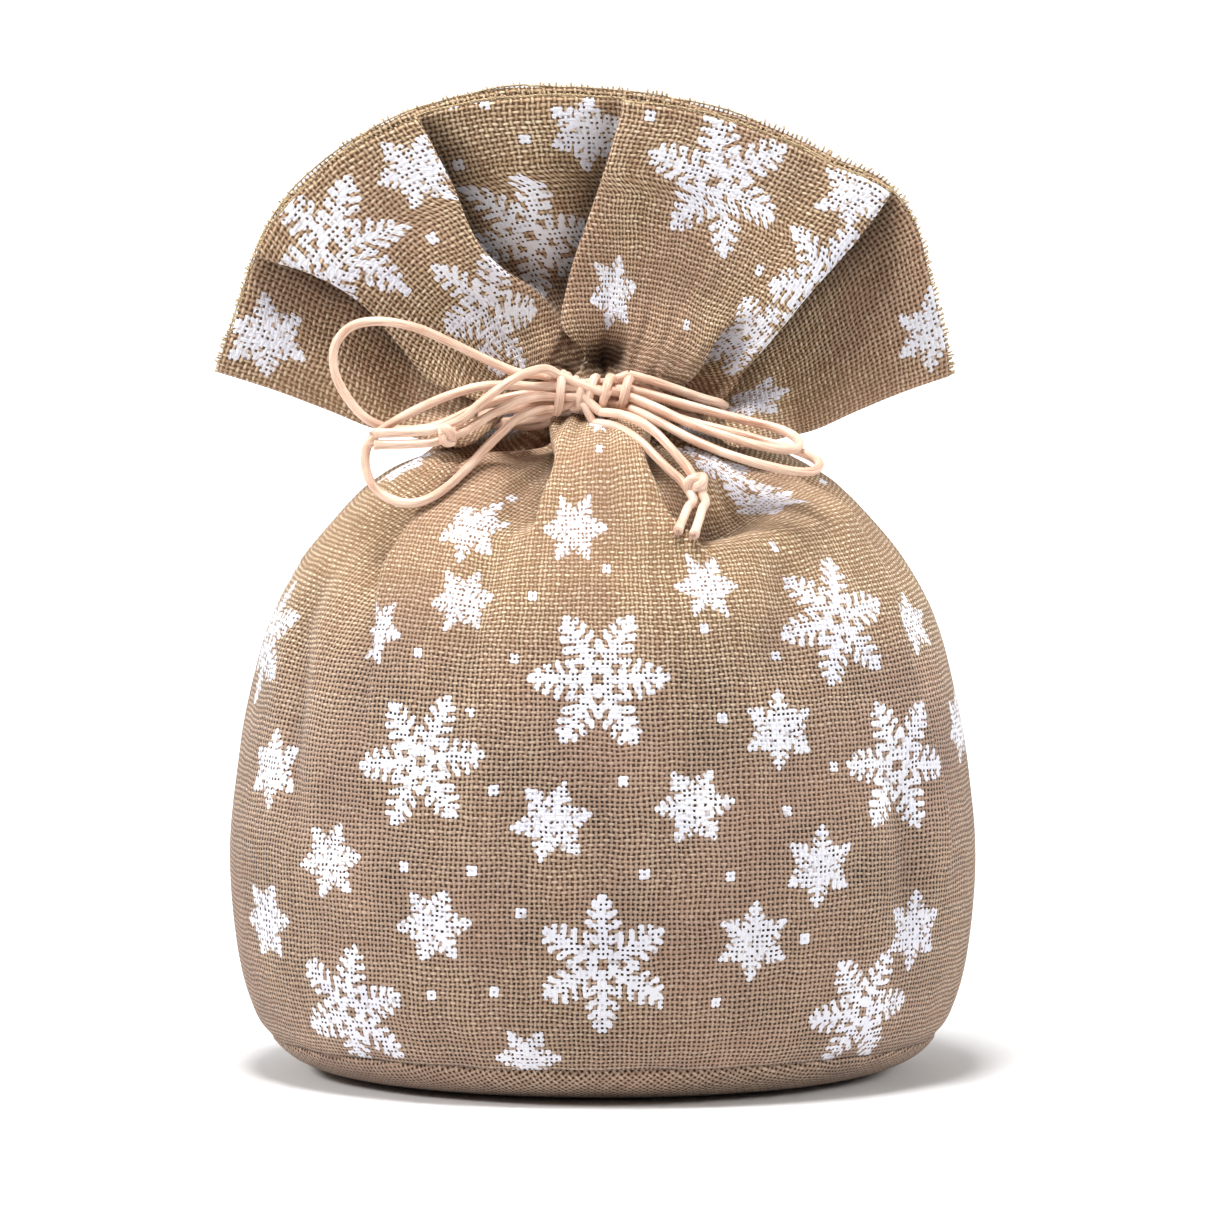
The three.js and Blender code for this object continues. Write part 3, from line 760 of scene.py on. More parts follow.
bow_knot()

for name, points in DRAWSTRINGS.items():
    add_cord(name + "_cord", points, "sack", [name])
for name, points in LOOPS.items():
    body = "left_loops" if name.startswith("left") else "right_loops"
    add_cord(name + "_cord", points, body, [name])

overhand_knot("left_end_knot_cord", (-0.037, -0.035, 0.1576), (1, 0, 0.1), 0.68 * MM, "left_tail")
overhand_knot("right_end_knot_cord", (0.0223, -0.0448, 0.147), (0.35, -0.35, -1), 0.76 * MM,
              "right_tail")
for tail, (cut_end, body, knot) in TAIL_ENDS.items():
    add_cord(tail + "_cord", TAILS[tail] + CUT_ENDS[cut_end], body,
             [tail, cut_end], cut=True)

# ------------------------------------------------------------------ the sack's cloth

PROFILE = [
    (0.0805, 0.009), (0.084, 0.015), (0.087, 0.025), (0.0892, 0.041), (0.0897, 0.055),
    (0.0883, 0.07), (0.0853, 0.089), (0.08, 0.1085), (0.0725, 0.123), (0.061, 0.137),
    (0.052, 0.1442), (0.043, 0.1484), (0.034, 0.151), (0.0265, 0.1523), (0.0213, 0.1534),
    (0.019, 0.1556), (0.019, 0.158), (0.019, 0.161),
]
NECK_WIDE, NECK_DEEP, NECK_TOP = 0.019, 0.014, 0.161
NECK_LIFT = 0.0065
RUFF_MIDDLE = 0.0685  # from the neck to the top edge, at the middle
# How far the ruff reaches past the neck at fan angles from the left tip to the right one
RUFF_REACH = [(6, 0.0738), (18, 0.0722), (25, 0.0735), (34, 0.0755), (45, 0.0755), (55, 0.075),
              (65, 0.073), (78, 0.0702), (90, 0.068), (103, 0.0673), (117, 0.068), (128, 0.0695),
              (137, 0.073), (146, 0.0712), (153, 0.0678), (161, 0.0657), (174, 0.0645)]
# How far its side edges hang below the straight line to the tips, at shares of the reach
RUFF_DROOP = [(0.03, 0), (0.1, 0.005), (0.17, 0.0095), (0.3, 0.0102), (0.48, 0.0098), (0.64, 0.0064),
              (0.82, 0.0028), (1.0, 0)]
FLAP_FRONT = 0.0148  # the front ruff's lower corners lie over the drawstrings, this far forward
RUFF_TIP_ANGLE = math.radians(6)
RUFF_BULGE = 0.0108
RUFF_GAP = 0.0009
CLOTH = 0.8 * MM
SHEET_WIDTH = 0.2587
COLUMNS = round(SHEET_WIDTH / WEAVE)
AROUND = 1501  # points of a row before it is shared out into columns
FULL_SHADE_HOLLOW = 4 * MM  # a hollow this deep gets the darkest painted shade in its folds


def profile_rows(profile, count):
    """Half width, height and distance of rows a thread apart, along a curve of count points."""
    fine = catmull_rom([(half, z, 0) for half, z in profile], count)
    along = run_length(fine)
    at = np.linspace(0, along[-1], round(along[-1] / WEAVE) + 1)
    half, z = (np.interp(at, along, fine[:, k]) for k in range(2))
    return half, z, at


HALF, HEIGHT, _ = profile_rows(PROFILE, 2000)
TANGENT = unit(np.stack([np.gradient(HALF), np.gradient(HEIGHT)], axis=1))
BODY_ROWS = len(HALF)
RUFF_ROWS = round(RUFF_MIDDLE / WEAVE)


def depth_share(half):
    return 0.737 + 0.096 * smooth(NECK_WIDE, 0.06, half)


def body_envelope(side):
    """The body without its folds: points and outward directions, for each row and angle."""
    angle = np.linspace(0, math.pi, AROUND)[None]
    half, deep = HALF[:, None], (HALF * depth_share(HALF))[:, None]
    lift = NECK_LIFT * np.sin(angle) ** 2 * (1 - smooth(0.025, 0.07, half))
    points = np.stack([-half * np.cos(angle), side * deep * np.sin(angle),
                       HEIGHT[:, None] + lift], axis=2)
    level = unit(np.stack([-deep * np.cos(angle), side * half * np.sin(angle), 0 * angle * half],
                          axis=2))
    out = level * TANGENT[:, 1][:, None, None]
    out[..., 2] -= TANGENT[:, 0][:, None]
    return points, out


def ruff_envelope(side):
    """The ruff without its folds, for each row past the neck and each angle."""
    angle = np.linspace(0, math.pi, AROUND)[None]
    stop = (np.arange(1, RUFF_ROWS + 1) / RUFF_ROWS)[:, None]
    fan = RUFF_TIP_ANGLE + angle / math.pi * (math.pi - 2 * RUFF_TIP_ANGLE)
    degrees, reaches = zip(*RUFF_REACH)
    reach = stop * hermite(np.degrees(fan), degrees, reaches)
    droop = hermite(stop, *zip(*RUFF_DROOP))
    droop = droop * (1 - smooth(0, 0.75, np.sin(angle)))
    settled = smooth(0, 0.4, stop)
    bulge = mix(NECK_DEEP * np.sin(angle), RUFF_BULGE * np.sqrt(np.sin(angle)), settled)
    depth = RUFF_GAP * smooth(0, 0.12, stop) + bulge
    if side < 0:
        flap = smooth(0.02, 0.1, stop) * (1 - smooth(0.22, 0.45, stop))
        flap = flap * (1 - smooth(0.15, 0.6, np.sin(angle)))
        depth = mix(depth, FLAP_FRONT, flap)
    points = np.stack([
        -NECK_WIDE * np.cos(angle) - reach * np.cos(fan),
        side * depth,
        NECK_TOP + NECK_LIFT * np.sin(angle) ** 2 + reach * np.sin(fan) - droop,
    ], axis=2)
    level = unit(np.stack([-NECK_DEEP * np.cos(angle), side * NECK_WIDE * np.sin(angle), 0 * angle],
                          axis=2))
    flat = np.array([0, side, 0.0])
    out = unit(mix(level, flat, smooth(0, 0.35, stop)[..., None]))
    return points, out


def row_marks():
    """A mark for each row that fold keys use: the height up to the neck, then neck + reach."""
    ruff = NECK_TOP + np.arange(1, RUFF_ROWS + 1) / RUFF_ROWS * RUFF_MIDDLE
    return np.concatenate([HEIGHT, ruff])


MARKS = row_marks()


def keyed(keys, column):
    """The keys' values for each row. A key is (mark in mm, angle in degrees, depth in mm)."""
    keys = np.asarray(keys, float)
    return hermite(MARKS, keys[:, 0] * MM, keys[:, column])


class Sheet:
    """One side of the sack, from the base seam to the ruff's edge, as a grid of points."""

    def __init__(self, side):
        self.side = side
        body, body_out = body_envelope(side)
        ruff, ruff_out = ruff_envelope(side)
        self.base = np.concatenate([body, ruff])
        self.out = np.concatenate([body_out, ruff_out])
        steps = np.linalg.norm(np.diff(self.base, axis=1), axis=2)
        rows = len(self.base)
        self.arc = np.concatenate([np.zeros((rows, 1)), np.cumsum(steps, axis=1)], axis=1)
        self.along = unit(np.gradient(self.base, axis=1))
        self.rise = np.zeros(self.arc.shape)
        self.shift = np.zeros(self.arc.shape)

    def place(self, angle_degrees):
        """The arc length of an angle in each row."""
        at = np.clip(angle_degrees / 180, 0, 1) * (AROUND - 1)
        low = np.minimum(at.astype(int), AROUND - 2)
        rows = np.arange(len(at))
        return mix(self.arc[rows, low], self.arc[rows, low + 1], at - low)[:, None]

    def edge_fold(self, keys, under, lobe_reach=11.0, under_reach=9.0, raised=0.42):
        """A fold whose lobe hangs over what lies past it, to the right if under is 1, else left.

        raised is the share of its depth that the lobe stands above the plain body."""
        depth = np.maximum(keyed(keys, 2), 0)[:, None] * MM
        d = under * (self.arc - self.place(keyed(keys, 1)))
        past = 0.5 * (1 + np.tanh(d / (0.9 * MM)))
        lobe = raised * np.exp(-((np.abs(d) / (lobe_reach * MM)) ** 1.6))
        hollow = (raised - 1) * np.exp(-((np.abs(d) / (under_reach * MM)) ** 1.6))
        self.rise += depth * ((1 - past) * lobe + past * hollow)
        over = np.minimum(0.32 * depth, 2.4 * MM)
        self.shift -= under * over * np.tanh(d / (1.3 * MM)) * np.exp(-((d / (5 * MM)) ** 2))

    def furrow(self, keys, width):
        """A soft valley, or a soft ridge where the depth is below 0."""
        depth = keyed(keys, 2)[:, None] * MM
        d = self.arc - self.place(keyed(keys, 1))
        self.rise -= depth * np.exp(-((d / (width * MM)) ** 2))

    def dent(self, x, z, wide, high, depth):
        """A hollow round a place seen from the front, or a bulge where the depth is below 0."""
        away = ((self.base[..., 0] - x * MM) / (wide * MM)) ** 2
        away = away + ((self.base[..., 2] - z * MM) / (high * MM)) ** 2
        self.rise -= depth * MM * np.exp(-away)

    def ripple(self, keys, waves, phase):
        """Small gathers side by side, as deep as the keys say."""
        depth = keyed(keys, 2)[:, None] * MM
        share = np.linspace(0, 1, AROUND)[None]
        drift = 0.5 * np.sin(MARKS[:, None] * 60 + phase)
        wave = np.sin(2 * math.pi * waves * share + phase + drift)
        wave = wave + 0.6 * np.sin(2 * math.pi * waves * 1.62 * share + 2.3 * phase - drift)
        self.rise += depth * wave

    def sag(self, amount, seed):
        """Slow unevenness of hanging cloth."""
        random = np.random.default_rng(seed)
        middle = self.arc - self.arc[:, -1:] / 2
        length = np.arange(len(MARKS))[:, None] * WEAVE
        for _ in range(14):
            wave = random.uniform(22, 75) * MM
            lean = random.uniform(0, 2 * math.pi)
            phase = random.uniform(0, 2 * math.pi)
            travel = middle * math.cos(lean) + length * math.sin(lean)
            height = amount * MM * random.uniform(0.1, 0.3)
            self.rise += height * np.sin(2 * math.pi * travel / wave + phase)

    def finish(self):
        """Keeps the seams in place and shares each row out into columns of equal width."""
        from_seam = np.minimum(self.arc, self.arc[:, -1:] - self.arc)
        free = smooth(0, 9 * MM, from_seam)
        length = np.arange(len(MARKS))[:, None] * WEAVE
        pulled = 1 - smooth(0.15, 0.162, MARKS)[:, None]
        seam = np.exp(-((from_seam / (1.7 * MM)) ** 2)) * (0.75 + 0.25 * np.sin(length / (3.3 * MM)))
        hem = np.exp(-((length / (2.2 * MM)) ** 2))
        pucker = 0.7 + 0.3 * np.sin(self.arc / (3.9 * MM)) + 0.25 * np.sin(self.arc / (9.1 * MM) + 1)
        rise = self.rise * free * smooth(0, 9 * MM, length) - 0.8 * MM * seam * pulled
        rise = rise - 0.55 * MM * hem * pucker
        points = self.base + self.out * rise[..., None] + self.along * (self.shift * free)[..., None]
        middle = AROUND // 2
        half_columns = np.arange(COLUMNS // 2 + 1) / (COLUMNS // 2)
        other_columns = np.arange(1, COLUMNS - COLUMNS // 2 + 1) / (COLUMNS - COLUMNS // 2)
        grid = np.zeros((len(points), COLUMNS + 1, 3))
        # painted shade: the further a point lies below its blurred neighbours, the darker its cloth is
        # painted
        hollow = np.clip((blurred(rise) - rise) / FULL_SHADE_HOLLOW, 0, 1)
        shade = np.zeros((len(points), COLUMNS + 1))
        for r, row in enumerate(points):
            along = run_length(row)
            at = np.concatenate([half_columns * along[middle],
                                 mix(along[middle], along[-1], other_columns)])
            for k in range(3):
                grid[r, :, k] = np.interp(at, along, row[:, k])
            shade[r] = np.interp(at, along, hollow[r])
        return grid, shade


def blurred(field, rows=4, columns=30):
    """A field averaged three times over a window of rows and columns."""
    for axis, reach in ((0, rows), (1, columns)):
        window = np.ones(2 * reach + 1) / (2 * reach + 1)

        def average(line):
            return np.convolve(np.pad(line, reach, mode="edge"), window, "valid")

        for _ in range(3):
            field = np.apply_along_axis(average, axis, field)
    return field


def spread(x, z, depth):
    """A fold key on the ruff, where it is seen at x and z millimetres from the front."""
    points, _ = ruff_envelope(-1)
    away = np.hypot(points[..., 0] - x * MM, points[..., 2] - z * MM)
    row, at = np.unravel_index(np.argmin(away), away.shape)
    return MARKS[BODY_ROWS + row] / MM, at / (AROUND - 1) * 180, depth


def seen(height, x, depth):
    """A fold key on the body, where it is seen at x millimetres from the front."""
    half = np.interp(height * MM, HEIGHT, HALF)
    return height, math.degrees(math.acos(np.clip(-x * MM / half, -1, 1))), depth


# How deep the small gathers are, as keys
NECK_GATHERS = [(138, 0, 0), (149, 0, 0.3), (155, 0, 0.5), (163, 0, 0.5), (172, 0, 0.3),
                (190, 0, 0.1), (210, 0, 0)]


def front_sheet():
    sheet = Sheet(-1)
    sheet.sag(0.5, 3)
    # the left lobe's edge, which overlaps the outer lobe and runs on into the ruff
    sheet.edge_fold([
        seen(90, -56.5, 0), seen(112, -54.5, 4), seen(127.8, -51, 8),
        seen(133.9, -46.6, 11), seen(142.8, -38.9, 14), seen(148.6, -29.3, 14),
        seen(153.6, -14.5, 10),
        (161, 30, 6), spread(-33.8, 164.6, 7), spread(-42, 168.1, 8), spread(-47.8, 175.1, 9),
        spread(-57.1, 185.7, 10), spread(-71, 194, 9), spread(-83.8, 197.4, 5),
    ], under=-1, under_reach=13, raised=0.1)
    # the middle column's left edge, which runs on into the left edge of the ruff's middle petal
    sheet.edge_fold([
        seen(135, -17.5, 0), seen(142, -14.5, 6), seen(148, -11, 9),
        seen(153.6, -9.5, 9), (161, 62, 6), spread(-5.5, 170.4, 4.5), spread(-8.8, 182.1, 10),
        spread(-8.2, 189.2, 12), spread(-3.6, 205.6, 12), spread(2.2, 223.2, 8), spread(4.6, 233, 5),
    ], under=-1, lobe_reach=10, under_reach=11)
    # the left petal of the ruff, over the deep valley beside the middle one
    sheet.edge_fold([
        (163, 46, 0), spread(-12.5, 173.5, 1.5), spread(-14.5, 186.8, 7), spread(-24.5, 195, 12),
        spread(-37.3, 217.3, 11), spread(-44.3, 231, 6),
    ], under=1, lobe_reach=12, under_reach=11)
    # the middle column's right edge, over the deep gap, and the small fold above it
    sheet.edge_fold([
        seen(128, 28, 0), seen(133.5, 22, 4), seen(137.5, 17, 9),
        seen(142, 13.2, 14), seen(149.5, 9.8, 15), seen(153.6, 10.3, 12),
        (161, 124, 8), spread(12.7, 164.6, 8), spread(17.4, 168.1, 8), spread(26.7, 177.5, 6),
        spread(33, 184, 0),
    ], under=1, under_reach=12)
    # the right ridge of the body and the ruff's sharp right fold
    sheet.edge_fold([
        seen(45, 83, 0), seen(78, 79.7, 4), seen(91, 75.8, 5),
        seen(102, 72.7, 5.5), seen(113.5, 69.6, 6), seen(125, 65.3, 6.5),
        seen(132.5, 59.5, 6.5), seen(138, 55.4, 6.5), seen(143.5, 50.4, 6),
        seen(147, 45.4, 5), (161, 142, 5), spread(26, 163, 6), spread(33.7, 170.4, 9),
        spread(45.3, 184.5, 12), spread(60.4, 202.1, 12), spread(68.6, 213, 9),
    ], under=1, lobe_reach=14, under_reach=15)
    sheet.furrow([seen(60, -74, 0), seen(80, -74.5, 2.5), seen(103, -73, 3),
                  seen(118, -70, 2), seen(130, -62, 0)], 5)
    sheet.furrow([seen(30, 71, 0), seen(50, 73.5, 2), seen(70, 71, 2), seen(90, 66, 0)], 6)
    sheet.furrow([seen(95, 40, 0), seen(112, 42, 2), seen(128, 43, 2), seen(140, 40, 0)], 7)
    sheet.furrow([seen(95, -30, 0), seen(115, -31, 2), seen(135, -25, 3),
                  seen(148, -18, 3), seen(153.6, -13, 2), (161, 50, 0)], 6)
    sheet.dent(30, 145, 15, 8, 16)
    for x in (-38, 38):
        sheet.dent(x, 151, 11, 4.5, -3)
    sheet.dent(32, 134.5, 24, 4.5, -3)
    sheet.dent(-12, 150, 6, 6, 2)
    sheet.dent(1.2, 173.5, 5, 6, 9)
    sheet.ripple(NECK_GATHERS, 21, 1.0)
    return sheet.finish()


def back_sheet():
    sheet = Sheet(1)
    sheet.sag(0.6, 8)
    sheet.edge_fold([
        seen(120, -30, 0), seen(135, -28, 4), seen(146, -20, 7),
        seen(153.6, -8, 7), (161, 80, 5.5), (175, 84, 6), (200, 80, 5), (234, 78, 2),
    ], under=1)
    sheet.edge_fold([
        seen(118, 48, 0), seen(130, 44, 3), seen(142, 33, 6), seen(150, 22, 6.5),
        seen(153.6, 13.5, 6), (161, 128, 5), (180, 136, 6), (205, 132, 6), (234, 130, 3),
    ], under=1)
    sheet.edge_fold([
        seen(125, -56, 0), seen(137, -50, 3), seen(147, -38, 5),
        seen(153.6, -16.5, 5), (161, 35, 4.5), (180, 30, 6), (210, 33, 5), (234, 34, 2.5),
    ], under=-1)
    sheet.furrow([(140, 100, 0), (152, 98, 3), (161, 102, 3), (190, 106, 4), (234, 108, 2)], 7)
    sheet.furrow([(165, 58, 1), (190, 56, 3.5), (234, 55, 2)], 8)
    sheet.ripple(NECK_GATHERS, 23, 2.4)
    return sheet.finish()


# ------------------------------------------------------------------ the print

FLAKE, STAR, DOT = 0, 1, 2
FLAKE_GROWTH = 1.1  # the ink of a flake stops short of its outer circle

# The front's motifs: x and height as they are seen from the front, and radius, in mm
FRONT_FLAKES = [  # and the turn of an arm, in degrees
    (-0.7, 94.7, 16.3, 0), (-44.4, 75, 15.5, 5), (56.4, 109.1, 15.5, 90), (-0.7, 25.1, 15.5, 90),
    (71.3, 73.1, 15.5, 0), (-60.7, 14.3, 15.5, 20), (62.4, 14.3, 14.5, 10),
    (-81.1, 104.3, 14.5, 90), (-64.8, 195.5, 15, 20), (-27.6, 180.4, 15, 85),
    (-17.5, 199.1, 15.5, 10), (26.9, 212.3, 16.5, 80), (52.1, 187.1, 14.5, 30),
    (32.9, 175.1, 13, 25), (29, 145.5, 14, 60),
]
FRONT_STARS = [  # and the turn of an arm, in degrees
    (-33.6, 113.9, 9, 0), (-7.4, 130.7, 9.5, 0), (-31.9, 130.7, 9.5, 10), (25, 116.8, 9.2, 0),
    (43, 82.7, 9.5, 90), (-13.4, 59.9, 10, 10), (22.1, 65.4, 9.5, 5), (52.6, 49.6, 9.5, 85),
    (-40.8, 34.7, 9.5, 5), (36, 31.1, 9.5, 85), (-65.5, 51.5, 9.5, 10), (-80.4, 72.4, 9.5, 85),
    (-81.1, 35.4, 9.5, 0), (74.9, 34.7, 9.5, 85), (-18.7, 2.8, 8.5, 0), (-55.5, 105.5, 8.5, 60),
    (86.5, 83.1, 9, 10), (75, 108, 8.5, 40), (-79.9, 176.3, 9.5, 30), (-45.1, 214.7, 9.5, 80),
    (-3.1, 223.1, 9.5, 90), (3.6, 187.1, 9.5, 80), (60.5, 211.1, 9.5, 70), (78.5, 176.3, 9.5, 40),
    (36.5, 161.9, 8.5, 20), (-31.5, 238.5, 9.5, 0), (0, 155.8, 5, 0), (38.5, 137.2, 9.5, 30),
    (-48.9, 146, 8, 20),
]
FRONT_DOTS = [  # as round dots
    (-17.5, 114.4, 1.4), (-21.1, 100.2, 1.3), (-44.6, 100.7, 1.4), (-54.7, 100.2, 1.3),
    (-32.6, 87.3, 1.4), (28.8, 85.8, 1.3), (4.6, 71.2, 1.4), (-26.6, 68.1, 1.3), (10.8, 47.9, 1.4),
    (31.7, 47.4, 1.3), (-20.6, 38.1, 1.4), (-19.2, 221.9, 1.4), (-35.3, 215.9, 1.3),
    (12, 229.1, 1.4), (-42, 198.4, 1.4), (-48.2, 185.9, 1.5), (36.5, 192.6, 1.4),
    (48.7, 195.5, 1.4), (20.9, 179.4, 1.4), (2.2, 120.7, 1.4), (24.7, 106.4, 1.3),
    (42.2, 125.7, 1.4), (41.5, 100.4, 1.3), (13.7, 16.3, 1.4), (27.4, 16.6, 1.3), (48.9, 31.2, 1.3),
    (-26.6, 18.7, 1.3), (-41.8, 18.5, 1.3), (-31.9, 49.7, 1.4), (-48.4, 49.4, 1.3),
    (45.1, 62.8, 1.3), (55.9, 73.7, 1.3), (-1.2, 149.6, 1.3), (53.3, 142.4, 1.5),
    (-20.6, 137.5, 1.3),
]
FRONT_MOTIFS = ([(*flake, FLAKE) for flake in FRONT_FLAKES]
                + [(*star, STAR) for star in FRONT_STARS]
                + [(*dot, 0, DOT) for dot in FRONT_DOTS])


def as_seen(points):
    """x and height of points as the camera's line of sight puts them."""
    height = points[..., 2] * math.cos(CAMERA_RISE) + points[..., 1] * math.sin(CAMERA_RISE)
    return points[..., 0], height


SAME_SPOT = 1.5 * MM  # of the cloth seen this close to a place, the foremost carries its motif


def front_print(grid):
    """The front's motifs as (across, along, radius, kind, turn) on the flat cloth."""
    x, height = as_seen(grid)
    motifs = []
    for seen_x, seen_height, radius, turn, kind in FRONT_MOTIFS:
        away = np.hypot(x - seen_x * MM, height - seen_height * MM)
        near = np.where(away < SAME_SPOT, grid[..., 1], np.inf)
        if np.isinf(near).all():
            near = away
        r, c = np.unravel_index(np.argmin(near), near.shape)
        c = min(c, COLUMNS - 1)
        above = min(r + 1, len(grid) - 1)
        steps = np.array([[x[r, c + 1] - x[r, c], x[above, c] - x[above - 1, c]],
                          [height[r, c + 1] - height[r, c], height[above, c] - height[above - 1, c]]])
        arm = math.radians(turn)
        if np.linalg.det(steps) > 0.35 * WEAVE ** 2:
            on_cloth = np.linalg.solve(steps, [math.cos(arm), math.sin(arm)])
            arm = math.atan2(on_cloth[1], on_cloth[0])
        radius *= FLAKE_GROWTH if kind == FLAKE else 1
        beyond = max(0, seen_height * MM - height[r, c]) if r == len(grid) - 1 else 0
        place = c * WEAVE / MM, (r * WEAVE + beyond) / MM
        motifs.append((*place, radius, kind, arm))
    return np.array(motifs)


def scattered_print(rows):
    """Motifs spread evenly over a whole sheet, none on another."""
    width, length = COLUMNS * WEAVE / MM, rows * WEAVE / MM
    random = np.random.default_rng(5)
    motifs = []
    for kind, radius, count, room in ((FLAKE, 15.5, 16, 4), (STAR, 9.5, 34, 4), (DOT, 1.4, 46, 5)):
        for _ in range(count * 60):
            place = random.uniform((6, 6), (width - 6, length - 6))
            if all(math.hypot(place[0] - m[0], place[1] - m[1]) > radius + m[2] + room for m in motifs):
                motifs.append((*place, radius, kind, random.uniform(0, math.pi)))
                count -= 1
            if count == 0:
                break
    return np.array(motifs)


def store_print(piece, motifs, face_place):
    """Gives each face the motif nearest to it."""
    away = np.linalg.norm(face_place[:, None] - motifs[None, :, :2], axis=2)
    nearest = np.argmin(away - motifs[None, :, 2], axis=1)
    chosen = motifs[nearest]
    data = piece.data.attributes
    style = np.concatenate([chosen[:, 3:5], np.zeros((len(chosen), 1))], axis=1)
    for name, values in (("motif", chosen[:, :3]), ("motif_style", style)):
        attribute = data.new(name, "FLOAT_VECTOR", "FACE")
        attribute.data.foreach_set("vector", values.astype(np.float32).ravel())


# ------------------------------------------------------------------ cloth pieces


def grid_normals(grid, side):
    across, along = np.gradient(grid, axis=1), np.gradient(grid, axis=0)
    return unit(np.cross(across, along)) * -side


def store_shade(piece, shade):
    """Gives each point the painted shade that darkens its cloth in the bottom of a fold."""
    attribute = piece.data.attributes.new("shade", "FLOAT", "POINT")
    attribute.data.foreach_set("value", shade.astype(np.float32))


def double_layer(grid, normals, flip):
    """Points and faces of a grid with its inner layer, closed along its four edges."""
    rows, columns = grid.shape[:2]
    outer = np.arange(rows * columns).reshape(rows, columns)
    inner = outer + rows * columns

    def quads(layer):
        a, b = layer[:-1, :-1], layer[:-1, 1:]
        c, d = layer[1:, 1:], layer[1:, :-1]
        return np.stack([a, b, c, d], axis=-1).reshape(-1, 4)

    def rim(first, second):
        return np.stack([first[:-1], second[:-1], second[1:], first[1:]], axis=-1)

    rims = [rim(outer[0], inner[0]), rim(inner[-1], outer[-1]),
            rim(inner[:, 0], outer[:, 0]), rim(outer[:, -1], inner[:, -1])]
    faces = np.concatenate([quads(outer), quads(inner)[:, ::-1], *rims])
    if flip:
        faces = faces[:, ::-1]
    points = np.concatenate([grid.reshape(-1, 3), (grid - normals * CLOTH).reshape(-1, 3)])
    outer_faces = (rows - 1) * (columns - 1)
    material = np.zeros(len(faces), int)
    material[outer_faces:2 * outer_faces] = 1
    return points, faces, material


STRIP_STEP = (0.9 * MM, 1.07 * MM)  # between a casing strip's points, across and along


def casing_strip(side):
    """The tape inside the neck that the drawstrings run through, gathered with the cloth."""
    angle = np.linspace(math.radians(9), math.radians(171), 61)[None]
    height = np.linspace(0, 6.4 * MM, 7)[:, None]
    gather = 0.35 * MM * np.sin(19 * angle + 4 * height / MM * 0.2)
    wide, deep = 11.9 * MM + gather, 6.9 * MM + gather
    lift = NECK_LIFT * np.sin(angle) ** 2
    return np.stack([-wide * np.cos(angle), side * deep * np.sin(angle),
                     0.1543 + height + lift], axis=2)


def add_sheet(name, grid, shade, side, motifs, replaced, body, start, end):
    """One panel with its ruff and casing strip, which bends between start and end."""
    normals = grid_normals(grid, side)
    points, faces, material = double_layer(grid, normals, side > 0)
    rows, columns = grid.shape[:2]
    across, along = np.meshgrid(np.arange(columns) * WEAVE, np.arange(rows) * WEAVE)
    flat = np.stack([across, along], axis=2).reshape(-1, 2)
    strip = casing_strip(side)
    strip_points, strip_faces, _ = double_layer(strip, grid_normals(strip, side) * 0.7, side > 0)
    strip_rows, strip_columns = strip.shape[:2]
    strip_across, strip_along = np.meshgrid(np.arange(strip_columns), np.arange(strip_rows))
    strip_flat = np.stack([strip_across, strip_along], axis=2).reshape(-1, 2) * STRIP_STEP
    all_points = np.concatenate([points, strip_points])
    all_faces = np.concatenate([faces, strip_faces + len(points)])
    all_material = np.concatenate([material, np.ones(len(strip_faces), int)])
    uv = np.concatenate([flat, flat, strip_flat, strip_flat]) / CLOTH_UV
    piece = add_piece(name, all_points, all_faces, [PRINTED, UNPRINTED], uv, all_material)
    face_place = (uv[all_faces].mean(axis=1)) * CLOTH_UV / MM
    store_print(piece, motifs, face_place)
    store_shade(piece, np.concatenate([shade.ravel(), shade.ravel(), np.zeros(len(strip_points))]))
    edge = add_edge_threads(name + "_edge", grid, normals)
    for part in (piece, edge):
        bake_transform(part, "sack", body, start, end)
    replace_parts(piece, *replaced)


LOOSE_WEFTS, FUZZ_FIBRES = 9, 170  # along the cut top edge of a sheet


def add_edge_threads(name, grid, normals):
    """The cut top edge: warp ends that stand out, loose weft threads and fuzz."""
    grids = []
    tip = grid[-1] - normals[-1] * CLOTH / 2
    ahead = unit(grid[-1] - grid[-4])
    beside = unit(np.gradient(tip, axis=0))
    for c in range(len(tip)):
        length = RANDOM.uniform(0.35, 1.5) * MM
        lean = RANDOM.normal(0, 0.22, 2)
        end = tip[c] + length * unit(ahead[c] + beside[c] * lean[0] + normals[-1][c] * lean[1])
        path = np.array([tip[c] - ahead[c] * 0.5 * MM, mix(tip[c], end, 0.5), end])
        grids.append(tube_grid(path, 0.24 * MM, 5))
    for _ in range(LOOSE_WEFTS):
        first = int(RANDOM.integers(2, len(tip) - 40))
        last = first + int(RANDOM.integers(14, 36))
        out = RANDOM.uniform(0.25, 0.8) * MM
        wave = np.sin(np.linspace(0, math.pi, last - first))[:, None]
        path = tip[first:last] + ahead[first:last] * out * wave
        path = path + normals[-1][first:last] * RANDOM.normal(0, 0.12 * MM, (last - first, 1))
        grids.append(tube_grid(path, 0.22 * MM, 5))
    for _ in range(FUZZ_FIBRES):
        c = int(RANDOM.integers(1, len(tip) - 1))
        length = RANDOM.uniform(0.8, 2.4) * MM
        aside, out = beside[c] * RANDOM.normal(0, 0.6), normals[-1][c] * RANDOM.normal(0, 0.5)
        lean = unit(ahead[c] + aside + out)
        bend = RANDOM.normal(0, 0.35 * MM, 3)
        path = np.array([tip[c], tip[c] + lean * length * 0.4 + bend, tip[c] + lean * length])
        grids.append(tube_grid(path, 0.06 * MM, 3))
    points, faces, uv = join_grids(grids)
    return add_piece(name, points, faces, [THREAD], uv)


front_grid, front_shade = front_sheet()
back_grid, back_shade = back_sheet()


# ------------------------------------------------------------------ base

